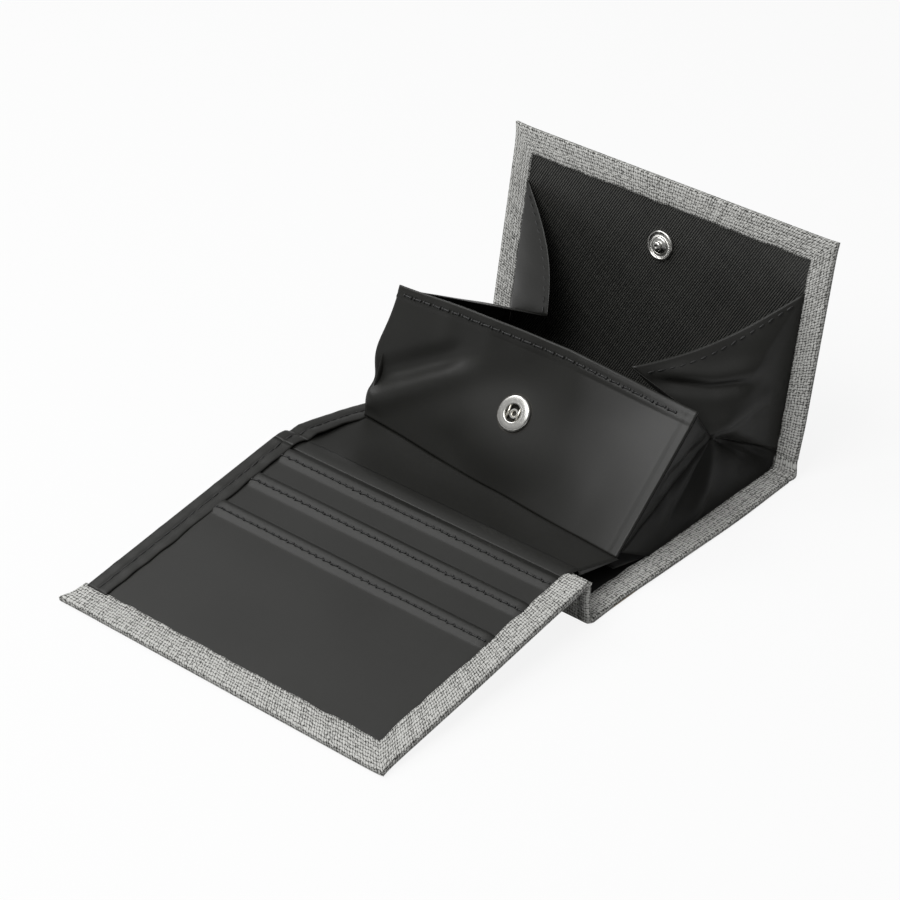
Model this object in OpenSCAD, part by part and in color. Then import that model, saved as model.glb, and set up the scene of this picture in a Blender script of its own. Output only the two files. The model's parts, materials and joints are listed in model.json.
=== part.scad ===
// Bifold canvas wallet with three card slots and a box coin pocket that snaps shut.
// It lies open on a table: the middle panel is flat, the lid stands up behind it, and the
// card side slopes down from the top of the spine to the table in front.
// The origin is the centre of the middle panel's underside. +Y points from the spine to the
// lid, and -X is the open side of the bill compartment.

/* [Panels] */
// Width of the wallet, along its folds
wallet_w = 105; // [98:1:120]
// Middle panel, from the spine fold to the lid step
base_l = 83.4; // [80:0.2:92]
// Card side, from the top fold to its front edge
card_l = 76.8; // [74:0.2:84]
// Lid, from its fold to its top edge
lid_l = 61.1; // [56:0.1:61.5]
// Height between the spine's two folds
spine_h = 11.8; // [11.5:0.1:16]
// Height of the lid fold above the middle panel's own mid plane
lid_step_h = 3.9; // [3.6:0.1:4.4]
// How far the lid step's foot lies behind the middle panel's end
lid_step_foot = 1.7; // [1.5:0.1:2.4]

/* [Open pose] */
// Lean of the open lid, outwards from upright
lid_lean = 11.7; // [4:0.1:20]
// Angle of the open coin flap above the table
flap_rise = 52; // [46:1:60]
// Slant that the lid and the flap share when they are snapped together
closed_tilt = 3.5; // [3:0.1:4]

/* [Cloth and boards] */
// Thickness of the grey canvas
canvas_t = 0.35; // [0.25:0.01:0.45]
// Thickness of the stiffener boards in the card side, the spine and the middle panel
board_t = 0.4; // [0.3:0.05:0.6]
// Thickness of the lid's stiffener board
lid_board_t = 0.8; // [0.6:0.05:1]
// Thickness of the bill compartment's lining
lining_t = 0.12; // [0.1:0.01:0.16]
// Thickness of the coarse canvas that lines the lid
lid_lining_t = 0.25; // [0.15:0.01:0.35]
// Thickness of the nylon of the pockets and the inner wall
nylon_t = 0.12; // [0.1:0.01:0.16]
// Thickness of each of the coin flap's two cloths
flap_cloth_t = 0.25; // [0.15:0.01:0.3]
// Air between two layers that lie on each other
layer_gap = 0.02; // [0.01:0.01:0.03]
// Height of the bill compartment where it lies flat
bill_gap = 0.25; // [0.22:0.01:0.35]

/* [Borders and hems] */
// Width of the canvas turned in along the edges of the card side and the middle panel
border_w = 7; // [5:0.5:9]
// Width of the canvas turned in along the lid's top edge
lid_top_border_w = 7; // [5:0.5:9]
// Width of the canvas turned in along the lid's two sides
lid_side_border_w = 6; // [5:0.5:7]
// Width of the binding round the inner wall's free edge
binding_w = 7; // [5:0.5:8]
// Height of the folded hem on each card pocket
pocket_hem_h = 3.6; // [3:0.1:5]
// Height of the folded hem on the coin flap
flap_hem_h = 4.2; // [3:0.1:5]

/* [Card pockets] */
// Rear pocket, from the card side's front edge to the pocket's top edge
pocket_back_l = 73.5; // [70:0.1:74]
// Middle pocket, from the card side's front edge to the pocket's top edge
pocket_middle_l = 62.1; // [58:0.1:65]
// Front pocket, from the card side's front edge to the pocket's top edge
pocket_front_l = 48.9; // [45:0.1:53]

/* [Coin pocket] */
// How far each side of the coin flap lies in from the wallet's edge
flap_inset = 7; // [7:0.5:9]
// Length of the coin flap, from its fold to its hem
flap_l = 43; // [40:0.5:44]
// Distance of the flap's fold from the spine fold
flap_fold_d = 19.1; // [18:0.1:20]
// Distance of the flap's mid plane behind its fold axis
flap_drop = 0.82; // [0.7:0.02:1]
// Height of the ramp's top edge above the table
ramp_top_z = 11.2; // [10:0.1:11.3]
// Distance of the ramp's top edge from the spine fold
ramp_start_d = 2.4; // [2:0.1:4]
// Height of the inner wall where the flap folds up from it
ridge_z = 4.64; // [4:0.02:4.8]
// Distance of that ridge from the spine fold
ridge_d = 17.8; // [17:0.1:18]
// Distance from the spine fold at which the inner wall lies flat again
floor_flat_d = 31; // [28:0.5:34]

/* [Gussets] */
// How far up the lid the gussets reach, from the lid fold
gusset_reach = 43.8; // [40:0.2:48]
// Thickness of the gusset cloth along its offset
gusset_t = 0.4; // [0.3:0.05:0.6]
// How far the right gusset's folded tip lies in from the wallet's edge
right_tip_in = 29.9; // [24:0.1:34]
// Distance of the right gusset's tip from the spine fold
right_tip_d = 55; // [52:0.5:60]
// Height of the right gusset's tip
right_tip_h = 36.7; // [32:0.1:38]
// How far the right gusset's creased star lies in from the wallet's edge
right_star_in = 13.5; // [10:0.1:18]
// Distance of the right gusset's star from the spine fold
right_star_d = 65; // [60:0.5:68]
// Height of the right gusset's star
right_star_h = 17; // [13:0.1:20]
// How far the left gusset's folded tip lies in from the wallet's edge
left_tip_in = 31.9; // [24:0.1:34]
// Distance of the left gusset's tip from the spine fold
left_tip_d = 72; // [68:0.5:74]
// Height of the left gusset's tip
left_tip_h = 28; // [24:0.1:32]
// How far the left gusset's creased star lies in from the wallet's edge
left_star_in = 14.5; // [10:0.1:18]
// Distance of the left gusset's star from the spine fold
left_star_d = 62; // [58:0.5:66]
// Height of the left gusset's star
left_star_h = 16; // [12:0.1:20]

/* [Press stud] */
// Distance of the stud from the lid fold
stud_d = 43.6; // [42:0.1:44]
// Space between the lid's lining and the flap when they are snapped together
snap_space = 2.75; // [2.7:0.01:2.9]
// Diameter of the stud's base
stud_base_dia = 8.2; // [7:0.1:9]
// Thickness of the stud's base
stud_base_t = 0.35; // [0.3:0.01:0.4]
// Diameter of the stud's neck
stud_neck_dia = 2.5; // [2.3:0.1:2.8]
// Diameter of the stud's head
stud_head_dia = 3.2; // [3:0.1:3.3]
// Height of the stud's head
stud_head_h = 0.55; // [0.4:0.01:0.6]
// Diameter of the rivet disc behind the lid's lining
rivet_dia = 7.2; // [6:0.1:8]
// Diameter of the rivet's shank
shank_dia = 1.6; // [1.4:0.1:1.8]
// Diameter of the socket
socket_dia = 9.9; // [9:0.1:11]
// Height of the socket on the flap
socket_h = 1.8; // [1.7:0.01:1.9]
// Thickness of the socket's sheet metal
socket_sheet = 0.3; // [0.25:0.01:0.32]
// Diameter of the socket's mouth
mouth_dia = 5; // [4.6:0.1:5.4]
// Diameter of the two spring wires in the socket
wire_dia = 0.4; // [0.3:0.02:0.44]
// Air between each wire and the stud's head
wire_air = 0.05; // [0.03:0.01:0.1]
// Diameter of the socket's tube, which holds the two flap cloths
tube_dia = 2.6; // [2.2:0.1:3]
// Diameter of the cap behind the flap
cap_dia = 9; // [8:0.1:10]
// Height of the cap's dome
cap_h = 0.6; // [0.5:0.05:0.8]

/* [Stitches] */
// Length of one stitch
stitch_l = 2.2; // [1.6:0.1:2.6]
// Distance from one stitch to the next
stitch_pitch = 3.2; // [2.8:0.1:4]
// Width of the thread
thread_w = 0.35; // [0.25:0.05:0.5]
// Height of the thread above the cloth
thread_h = 0.12; // [0.1:0.01:0.15]

/* [Hidden] */

$fn = 64;
half_w = wallet_w / 2;
flap_w = wallet_w - 2 * flap_inset;
edge_air = 0.05;

// Heights in the stack of each panel, from the outer face of its canvas
board_z = canvas_t + layer_gap;
lining_z = board_z + board_t + layer_gap;
wall_z = lining_z + lining_t + bill_gap;
layer = nylon_t + layer_gap;
pocket_back_z = wall_z + layer;
pocket_middle_z = pocket_back_z + layer;
pocket_front_z = pocket_middle_z + layer;
card_lip_z = pocket_front_z + layer;
card_t = card_lip_z + canvas_t;
base_lip_z = wall_z + 2 * layer;
base_t = base_lip_z + canvas_t;
lid_lining_z = board_z + lid_board_t + layer_gap;
lid_lip_z = lid_lining_z + lid_lining_t + layer_gap;
lid_t = lid_lip_z + canvas_t;
spine_t = 2 * canvas_t + board_t + lining_t + 3 * layer_gap;

// Folds: each fold is a round roll of canvas, and the stiff parts start clear of it, at
// this many times its radius
card_fold_room = 1.21;
lid_fold_room = 1.27;
card_mid = card_t / 2;
base_mid = base_t / 2;
lid_mid = lid_t / 2;
fold_air = 0.1;
card_start = card_mid * card_fold_room;
lid_start = lid_mid * lid_fold_room;
spine_roll_r = base_mid - edge_air;
base_start = spine_roll_r + fold_air;
spine_start = base_start + edge_air;
spine_end = card_start;

spine_y = -base_l / 2;
top_fold_z = base_mid + spine_h;
card_tilt = asin((top_fold_z - card_mid) / card_l);
lid_angle = 90 - lid_lean;
lid_fold_y = spine_y + base_l + lid_step_foot + lid_step_h / tan(lid_angle);
lid_fold_z = base_mid + lid_step_h;

// The flap's fold is placed so that the stud meets the socket when both are shut
flap_half = flap_cloth_t + layer_gap / 2;
snap_plane_gap = lid_lining_z + lid_lining_t - lid_mid + snap_space + flap_half;
flap_fold_y = spine_y + flap_fold_d;
flap_fold_z = lid_fold_z - (snap_plane_gap - flap_drop
    - sin(closed_tilt) * (lid_fold_y - flap_fold_y)) / cos(closed_tilt);
shut_socket_y = lid_fold_y - stud_d * cos(closed_tilt) - snap_plane_gap * sin(closed_tilt);
socket_d = (shut_socket_y - flap_fold_y + flap_drop * sin(closed_tilt)) / cos(closed_tilt);
flap_start = 0.3;

// Inner wall over the middle panel: its underside, as y from the spine fold and z
wall_end = base_l - edge_air;
ramp_line = [[ramp_start_d, ramp_top_z], [ridge_d, ridge_z]];
slope_line = [[ridge_d, ridge_z], [floor_flat_d, wall_z]];
flat_line = [[floor_flat_d, wall_z], [wall_end, wall_z]];
coin_floor_setback = 0.8;
coin_floor_start = ridge_d + coin_floor_setback;
slope_rate = (ridge_z - wall_z) / (floor_flat_d - ridge_d);
coin_slope_line = [
    [coin_floor_start, ridge_z + layer - (coin_floor_start - ridge_d) * slope_rate],
    [floor_flat_d, wall_z + layer]
];
coin_flat_line = [[floor_flat_d, wall_z + layer], [wall_end, wall_z + layer]];

// Gusset corners: y from the middle panel's ends and z, with how far each lies inwards
gusset_seam_in = 0.5;
gusset_hem_in = 1;
gusset_x = half_w - lid_side_border_w - gusset_seam_in;
gusset_air = 0.25;
lid_step_air = 0.2;
gusset_shift = [0.6, 0.3, 0.5] * gusset_t;
lid_face = lid_lining_z + lid_lining_t - lid_mid + gusset_air + gusset_shift[1];
gusset_lid_y = lid_fold_y + gusset_reach * cos(lid_angle) - lid_face * sin(lid_angle);
gusset_lid_z = lid_fold_z + gusset_reach * sin(lid_angle) + lid_face * cos(lid_angle);
gusset_back_y = spine_y + base_l - lid_step_air;
gusset_floor_z = base_t + gusset_air;
gusset_front_d = flap_start + gusset_seam_in;
gusset_hem_d = flap_l - gusset_hem_in;
flap_back = flap_drop + flap_half + gusset_air + gusset_shift[2];
gusset_front_y = flap_fold_y + gusset_front_d * cos(flap_rise) + flap_back * sin(flap_rise);
gusset_front_z = flap_fold_z + gusset_front_d * sin(flap_rise) - flap_back * cos(flap_rise);
gusset_hem_y = flap_fold_y + gusset_hem_d * cos(flap_rise) + flap_back * sin(flap_rise);
gusset_hem_z = flap_fold_z + gusset_hem_d * sin(flap_rise) - flap_back * cos(flap_rise);
flap_side_x = flap_w / 2 - gusset_seam_in;
right_tip = [half_w - right_tip_in, spine_y + right_tip_d, right_tip_h];
right_star = [half_w - right_star_in, spine_y + right_star_d, right_star_h];
left_tip = [half_w - left_tip_in, spine_y + left_tip_d, left_tip_h];
left_star = [half_w - left_star_in, spine_y + left_star_d, left_star_h];

// Stud and socket: heights, and the widths of their rims, slopes and rounded edges
stud_air = 0.15;
stud_h = snap_space - socket_sheet - stud_air;
stud_boss_dia = 4.6;
stud_boss_h = 0.7;
stud_rim_h = 0.6;
stud_rim_w = 0.4;
stud_rim_slope = 0.2;
stud_boss_slope = 0.3;
stud_neck_flare = 0.25;
stud_neck_rise = 0.2;
head_bulge_h = 0.6;
head_shoulder_h = 0.25;
head_shoulder_w = 0.1;
head_flat_w = 0.5;
cut_end = 1;
rivet_t = 0.4;
shank_h = 0.9;
hole_air = 0.05;
wire_x = stud_head_dia / 2 + wire_air + wire_dia / 2;
wire_z = socket_h - socket_sheet - wire_dia / 2 - hole_air;
chamber_r = 3.4;
socket_skirt_w = 0.6;
socket_skirt_h = 0.3;
socket_shoulder_h = 0.4;
mouth_lip_w = 0.2;
mouth_lip_h = 0.15;
tube_wall = 0.4;
cap_dome_w = 1.2;
cap_dome_share = 0.85;
cap_edge_share = 0.25;
chord = sqrt(chamber_r * chamber_r - pow(wire_x + wire_dia / 2, 2));

canvas_colour = [0.66, 0.66, 0.64];
nylon_colour = [0.2, 0.2, 0.19];
lining_colour = [0.13, 0.13, 0.13];
board_colour = [0.55, 0.5, 0.42];
metal_colour = [0.8, 0.8, 0.78];
thread_colour = [0.08, 0.08, 0.08];
grey_thread_colour = [0.5, 0.5, 0.48];

// Frames: y runs along the panel and z up through its stack from the canvas outwards
module at_base() translate([0, spine_y, 0]) children();
module at_card() translate([0, spine_y, top_fold_z]) rotate([card_tilt, 0, 0])
    translate([0, 0, -card_mid]) children();
module at_lid() translate([0, lid_fold_y, lid_fold_z]) rotate([lid_angle, 0, 0])
    translate([0, 0, -lid_mid]) children();
module at_flap() translate([0, flap_fold_y, flap_fold_z]) rotate([flap_rise, 0, 0])
    translate([0, 0, -flap_drop]) children();
module at_socket() at_flap() translate([0, socket_d, flap_half]) children();
module at_stud() at_lid() translate([0, stud_d, lid_lining_z + lid_lining_t]) children();

module slab(x, y, z) translate([x[0], y[0], z[0]])
    cube([x[1] - x[0], y[1] - y[0], z[1] - z[0]]);

// A cloth of even height over a line of [y, z] points, across x
module cloth(x, line, t) translate([x[0], 0, 0]) rotate([90, 0, 90])
    linear_extrude(x[1] - x[0])
    polygon(concat(line, [for (i = [len(line) - 1 : -1 : 0]) line[i] + [0, t]]));

module roll(r) rotate([0, 90, 0]) cylinder(h = wallet_w, r = r, center = true);

// Rows of stitches keep this far from the ends of their seam
row_end = 1;
// Place of a hem's row of stitches, as a share of the hem's height from its open edge
hem_row = 0.6;

// A row of stitches from one point to another, along X or Y
module stitches(from, to) {
    run = to - from;
    length = norm(run);
    count = floor((length - stitch_l) / stitch_pitch) + 1;
    spare = (length - stitch_l - (count - 1) * stitch_pitch) / 2;
    translate(from) rotate([0, 0, atan2(run[1], run[0])])
        for (i = [0 : count - 1]) translate([spare + i * stitch_pitch, -thread_w / 2, 0])
            cube([stitch_l, thread_w, thread_h]);
}

module card_cover() color(canvas_colour) at_card() {
    slab([-half_w, half_w], [-card_l, 0], [0, canvas_t]);
    slab([-half_w, half_w], [-card_l, -card_l + canvas_t], [0, card_t]);
    slab([half_w - canvas_t, half_w], [-card_l, -card_start], [0, card_t]);
    slab([-half_w, -half_w + canvas_t], [-card_l, -card_start], [0, lining_z + lining_t]);
    slab([-half_w, half_w], [-card_l, -card_l + border_w], [card_lip_z, card_t]);
    slab([half_w - border_w, half_w], [-card_l, -card_start], [card_lip_z, card_t]);
    translate([0, 0, card_mid]) roll(card_mid);
}
card_inner_x = [-half_w + canvas_t + edge_air, half_w - canvas_t - edge_air];
card_inner_y = [-card_l + canvas_t + edge_air, -card_start - edge_air];
module card_board() color(board_colour) at_card()
    slab(card_inner_x, card_inner_y, [board_z, board_z + board_t]);
module card_lining() color(lining_colour) at_card()
    slab(card_inner_x, card_inner_y, [lining_z, lining_z + lining_t]);
bound_x = -half_w + nylon_t + layer_gap;
module card_backing() color(nylon_colour) at_card()
    slab([bound_x, card_inner_x[1]], card_inner_y, [wall_z, wall_z + nylon_t]);

// A card pocket: its cloth runs from under the front border to a folded hem
module card_pocket(length, z) {
    slab([bound_x, card_inner_x[1]], [card_inner_y[0], length - card_l], [z, z + nylon_t]);
    slab([-half_w + binding_w + edge_air, half_w - border_w - edge_air],
        [length - card_l - pocket_hem_h, length - card_l], [z + nylon_t, z + layer + nylon_t]);
}
module card_pocket_back() color(nylon_colour) at_card()
    card_pocket(pocket_back_l, pocket_back_z);
module card_pocket_middle() color(nylon_colour) at_card()
    card_pocket(pocket_middle_l, pocket_middle_z);
module card_pocket_front() color(nylon_colour) at_card()
    card_pocket(pocket_front_l, pocket_front_z);

module pocket_thread(length, z) stitches(
    [-half_w + binding_w + row_end, length - card_l - pocket_hem_h * hem_row,
        z + layer + nylon_t],
    [half_w - border_w - row_end, length - card_l - pocket_hem_h * hem_row,
        z + layer + nylon_t]);
module pocket_back_thread() color(thread_colour) at_card()
    pocket_thread(pocket_back_l, pocket_back_z);
module pocket_middle_thread() color(thread_colour) at_card()
    pocket_thread(pocket_middle_l, pocket_middle_z);
module pocket_front_thread() color(thread_colour) at_card()
    pocket_thread(pocket_front_l, pocket_front_z);

module card_binding() color(nylon_colour) at_card() {
    y = [-card_l + border_w + edge_air, card_inner_y[1]];
    x = [-half_w, -half_w + binding_w];
    slab(x, y, [wall_z - layer, wall_z - layer_gap]);
    slab(x, y, [card_lip_z, card_lip_z + nylon_t]);
    slab([-half_w, -half_w + nylon_t], y, [wall_z - layer, card_lip_z + nylon_t]);
}
module card_binding_thread() color(thread_colour) at_card() stitches(
    [-half_w + binding_w / 2, -card_l + border_w + row_end, card_lip_z + nylon_t],
    [-half_w + binding_w / 2, -card_start - row_end, card_lip_z + nylon_t]);
module card_border_thread() color(grey_thread_colour) at_card() {
    stitches([-half_w + border_w / 2, -card_l + border_w / 2, card_t],
        [half_w - border_w, -card_l + border_w / 2, card_t]);
    stitches([half_w - border_w / 2, -card_l + border_w, card_t],
        [half_w - border_w / 2, -card_start - row_end, card_t]);
}

// The spine stands on the middle panel's end: y runs through its stack, outer face first
module spine_cover() color(canvas_colour) at_base() {
    foot = base_mid + spine_start;
    top = top_fold_z - spine_end;
    slab([-half_w, half_w], [-spine_t / 2, -spine_t / 2 + canvas_t], [base_mid, top]);
    slab([half_w - canvas_t, half_w], [-spine_t / 2, spine_t / 2], [foot, top]);
    slab([half_w - border_w, half_w], [spine_t / 2 - canvas_t, spine_t / 2], [foot, top]);
    translate([0, 0, base_mid]) roll(spine_roll_r);
}
spine_z = [base_mid + spine_start + edge_air, top_fold_z - spine_end - edge_air];
spine_board_y = -spine_t / 2 + board_z;
module spine_board() color(board_colour) at_base()
    slab(card_inner_x, [spine_board_y, spine_board_y + board_t], spine_z);
module spine_lining() color(lining_colour) at_base()
    slab(card_inner_x, [spine_board_y + board_t + layer_gap,
        spine_board_y + board_t + layer_gap + lining_t], spine_z);

module base_cover() color(canvas_colour) at_base() {
    slab([-half_w, half_w], [base_start, base_l], [0, canvas_t]);
    slab([half_w - canvas_t, half_w], [base_start, base_l], [0, base_t]);
    slab([-half_w, -half_w + canvas_t], [base_start, base_l], [0, lining_z + lining_t]);
    slab([half_w - border_w, half_w], [base_start, base_l], [base_lip_z, base_t]);
}
base_inner_y = [base_start + edge_air, base_l - edge_air];
module base_board() color(board_colour) at_base()
    slab(card_inner_x, base_inner_y, [board_z, board_z + board_t]);
module base_lining() color(lining_colour) at_base()
    slab(card_inner_x, base_inner_y, [lining_z, lining_z + lining_t]);

// The canvas step between the middle panel and the lid, bevelled underneath
module lid_fold_strip() color(canvas_colour) at_base() {
    rise = [cos(lid_angle), sin(lid_angle)];
    inward = [-sin(lid_angle), cos(lid_angle)];
    fold = [lid_fold_y - spine_y, lid_fold_z];
    top = fold - rise * lid_start;
    foot = fold - rise * (lid_fold_z - base_t) / sin(lid_angle);
    cloth_line = [
        [base_l, 0], [foot[0] + lid_mid * sin(lid_angle), base_t - edge_air],
        top - inward * lid_mid, top + inward * lid_mid,
        [foot[0] - lid_mid * sin(lid_angle), base_t], [base_l, base_t]
    ];
    translate([-half_w, 0, 0]) rotate([90, 0, 90]) linear_extrude(wallet_w)
        polygon(cloth_line);
}

ramp_under_border = 2;
ramp_x = [bound_x, half_w - border_w + ramp_under_border];
slope_x = [bound_x, half_w - border_w - edge_air];
flat_x = [bound_x, half_w - canvas_t - edge_air];
module bill_ramp() color(nylon_colour) at_base() cloth(ramp_x, ramp_line, nylon_t);
module bill_floor() color(nylon_colour) at_base() {
    cloth(slope_x, slope_line, nylon_t);
    cloth(flat_x, flat_line, nylon_t);
}
module coin_floor() color(nylon_colour) at_base() {
    cloth(slope_x, coin_slope_line, nylon_t);
    cloth(flat_x, coin_flat_line, nylon_t);
}

// Binding round the left edge of the ramp and of the two floors
module bound_edge(line, inner_t) {
    lower = [for (p = line) p - [0, layer]];
    upper = [for (p = line) p + [0, inner_t + layer_gap]];
    cloth([-half_w, -half_w + binding_w], lower, nylon_t);
    cloth([-half_w, -half_w + binding_w], upper, nylon_t);
    cloth([-half_w, -half_w + nylon_t], lower, inner_t + 2 * layer);
}
module base_binding() color(nylon_colour) at_base() {
    bound_edge(ramp_line, nylon_t);
    bound_edge(slope_line, 2 * nylon_t + layer_gap);
    bound_edge(flat_line, 2 * nylon_t + layer_gap);
}
module base_binding_thread() color(thread_colour) at_base() {
    z = wall_z + 2 * layer + nylon_t;
    stitches([-half_w + binding_w / 2, floor_flat_d + row_end, z],
        [-half_w + binding_w / 2, wall_end - row_end, z]);
}
module base_border_thread() color(grey_thread_colour) at_base()
    stitches([half_w - border_w / 2, base_start + row_end, base_t],
        [half_w - border_w / 2, base_l - row_end, base_t]);

// A gusset is one folded cloth: its five corners and tip fan out from a creased star point.
// side is 1 for the right gusset and -1 for the left one.
module gusset(side, tip, star) {
    corners = [
        star, [gusset_x, gusset_lid_y, gusset_lid_z], tip,
        [flap_side_x, gusset_hem_y, gusset_hem_z],
        [flap_side_x, gusset_front_y, gusset_front_z],
        [gusset_x, gusset_back_y, gusset_floor_z]
    ];
    points = concat(corners, [for (p = corners) p + gusset_shift]);
    faces = concat(
        [for (i = [1 : 5]) [0, i, i % 5 + 1]],
        [for (i = [1 : 5]) [6, 7 + i % 5, 6 + i]],
        [for (i = [1 : 5]) [i, 6 + i, 7 + i % 5]],
        [for (i = [1 : 5]) [i, 7 + i % 5, i % 5 + 1]]
    );
    mirror([side < 0 ? 1 : 0, 0, 0]) polyhedron(points, faces);
}
module gusset_right() color(nylon_colour) gusset(1, right_tip, right_star);
module gusset_left() color(nylon_colour) gusset(-1, left_tip, left_star);

module lid_cover() color(canvas_colour) at_lid() {
    side_y = [lid_start, lid_l];
    slab([-half_w, half_w], [0, lid_l], [0, canvas_t]);
    slab([-half_w, half_w], [lid_l - canvas_t, lid_l], [0, lid_t]);
    slab([-half_w, half_w], [lid_l - lid_top_border_w, lid_l], [lid_lip_z, lid_t]);
    for (side = [-1, 1]) mirror([side < 0 ? 1 : 0, 0, 0]) {
        slab([half_w - canvas_t, half_w], side_y, [0, lid_t]);
        slab([half_w - lid_side_border_w, half_w], side_y, [lid_lip_z, lid_t]);
    }
    translate([0, 0, lid_mid]) roll(lid_mid);
}
lid_inner_y = [lid_start + edge_air, lid_l - canvas_t - edge_air];
module lid_board() color(board_colour) at_lid() difference() {
    slab(card_inner_x, lid_inner_y, [board_z, board_z + lid_board_t]);
    translate([0, stud_d, 0]) cylinder(h = lid_t, d = rivet_dia + 2 * hole_air);
}
module lid_lining() color(lining_colour) at_lid() difference() {
    slab(card_inner_x, lid_inner_y, [lid_lining_z, lid_lining_z + lid_lining_t]);
    translate([0, stud_d, 0]) cylinder(h = lid_t, d = shank_dia + 2 * hole_air);
}
module lid_border_thread() color(grey_thread_colour) at_lid() {
    stitches([-half_w + lid_side_border_w, lid_l - lid_top_border_w / 2, lid_t],
        [half_w - lid_side_border_w, lid_l - lid_top_border_w / 2, lid_t]);
    for (side = [-1, 1]) {
        x = side * (half_w - lid_side_border_w / 2);
        stitches([x, lid_start + row_end, lid_t], [x, lid_l - lid_top_border_w, lid_t]);
    }
}

module stud() color(metal_colour) at_stud() difference() {
    rotate_extrude() polygon([
        [0, 0], [stud_base_dia / 2, 0], [stud_base_dia / 2, stud_rim_h],
        [stud_base_dia / 2 - stud_rim_w, stud_rim_h],
        [stud_base_dia / 2 - stud_rim_w - stud_rim_slope, stud_base_t],
        [stud_boss_dia / 2 + stud_boss_slope, stud_base_t], [stud_boss_dia / 2, stud_boss_h],
        [stud_neck_dia / 2 + stud_neck_flare, stud_boss_h],
        [stud_neck_dia / 2, stud_boss_h + stud_neck_rise],
        [stud_neck_dia / 2, stud_h - stud_head_h],
        [stud_head_dia / 2, stud_h - stud_head_h * head_bulge_h],
        [stud_head_dia / 2 - head_shoulder_w, stud_h - stud_head_h * head_shoulder_h],
        [stud_head_dia / 2 - head_flat_w, stud_h], [0, stud_h]
    ]);
    translate([0, 0, -cut_end])
        cylinder(h = shank_h + hole_air + cut_end, d = shank_dia + 2 * hole_air);
}
module stud_rivet() color(metal_colour) at_stud() {
    disc_top = -lid_lining_t - layer_gap;
    translate([0, 0, disc_top - rivet_t]) cylinder(h = rivet_t, d = rivet_dia);
    translate([0, 0, disc_top]) cylinder(h = shank_h - disc_top, d = shank_dia);
}

flap_x = [-flap_w / 2, flap_w / 2];
module flap_hole() translate([0, socket_d, -cut_end])
    cylinder(h = 2 * cut_end, d = tube_dia + 2 * hole_air);
module coin_flap_front() color(nylon_colour) at_flap() difference() {
    union() {
        slab(flap_x, [flap_start, flap_l], [layer_gap / 2, flap_half]);
        translate([0, 0, flap_drop]) rotate([0, 90, 0])
            cylinder(h = flap_w, r = flap_drop - fold_air, center = true);
    }
    flap_hole();
}
module coin_flap_back() color(nylon_colour) at_flap() difference() {
    slab(flap_x, [flap_start, flap_l], [-flap_half, -layer_gap / 2]);
    flap_hole();
}
module coin_flap_hem() color(nylon_colour) at_flap()
    slab(flap_x, [flap_l - flap_hem_h, flap_l],
        [flap_half + layer_gap, flap_half + layer_gap + nylon_t]);
module coin_flap_thread() color(thread_colour) at_flap() {
    y = flap_l - flap_hem_h * hem_row;
    z = flap_half + layer_gap + nylon_t;
    stitches([flap_x[0] + row_end, y, z], [flap_x[1] - row_end, y, z]);
}

// A pressed ring with a round mouth over a chamber that holds the two wires
module socket() color(metal_colour) at_socket() rotate_extrude() polygon([
    [tube_dia / 2 + hole_air, 0], [socket_dia / 2, 0], [socket_dia / 2, socket_sheet],
    [chamber_r + socket_sheet + socket_skirt_w, socket_sheet + socket_skirt_h],
    [chamber_r + socket_sheet, socket_h - socket_shoulder_h], [chamber_r, socket_h],
    [mouth_dia / 2 + mouth_lip_w, socket_h], [mouth_dia / 2, socket_h - mouth_lip_h],
    [mouth_dia / 2, socket_h - socket_sheet], [chamber_r, socket_h - socket_sheet],
    [chamber_r, socket_sheet], [tube_dia / 2 + hole_air, socket_sheet]
]);
module socket_spring() color(metal_colour) at_socket()
    for (side = [-1, 1]) translate([side * wire_x, 0, wire_z]) rotate([90, 0, 0])
        cylinder(h = 2 * chord - 2 * hole_air, d = wire_dia, center = true, $fn = 24);
module socket_cap() color(metal_colour) at_socket() {
    back = -2 * flap_half;
    rotate_extrude() polygon([
        [0, back - cap_h], [cap_dia / 2 - cap_dome_w, back - cap_h * cap_dome_share],
        [cap_dia / 2, back - cap_h * cap_edge_share], [cap_dia / 2, back - hole_air],
        [tube_dia / 2, back - hole_air], [tube_dia / 2, socket_sheet],
        [tube_dia / 2 - tube_wall, socket_sheet], [tube_dia / 2 - tube_wall, back - hole_air],
        [0, back - hole_air]
    ]);
}

card_cover();
card_board();
card_lining();
card_backing();
card_pocket_back();
card_pocket_middle();
card_pocket_front();
card_binding();
card_border_thread();
card_binding_thread();
pocket_back_thread();
pocket_middle_thread();
pocket_front_thread();
spine_cover();
spine_board();
spine_lining();
base_cover();
base_board();
base_lining();
bill_ramp();
bill_floor();
base_binding();
base_binding_thread();
base_border_thread();
coin_floor();
lid_fold_strip();
gusset_right();
gusset_left();
lid_cover();
lid_board();
lid_lining();
lid_border_thread();
stud();
stud_rivet();
coin_flap_front();
coin_flap_back();
coin_flap_hem();
coin_flap_thread();
socket();
socket_spring();
socket_cap();
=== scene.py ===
import json
import math
import random
from functools import partial

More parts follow.
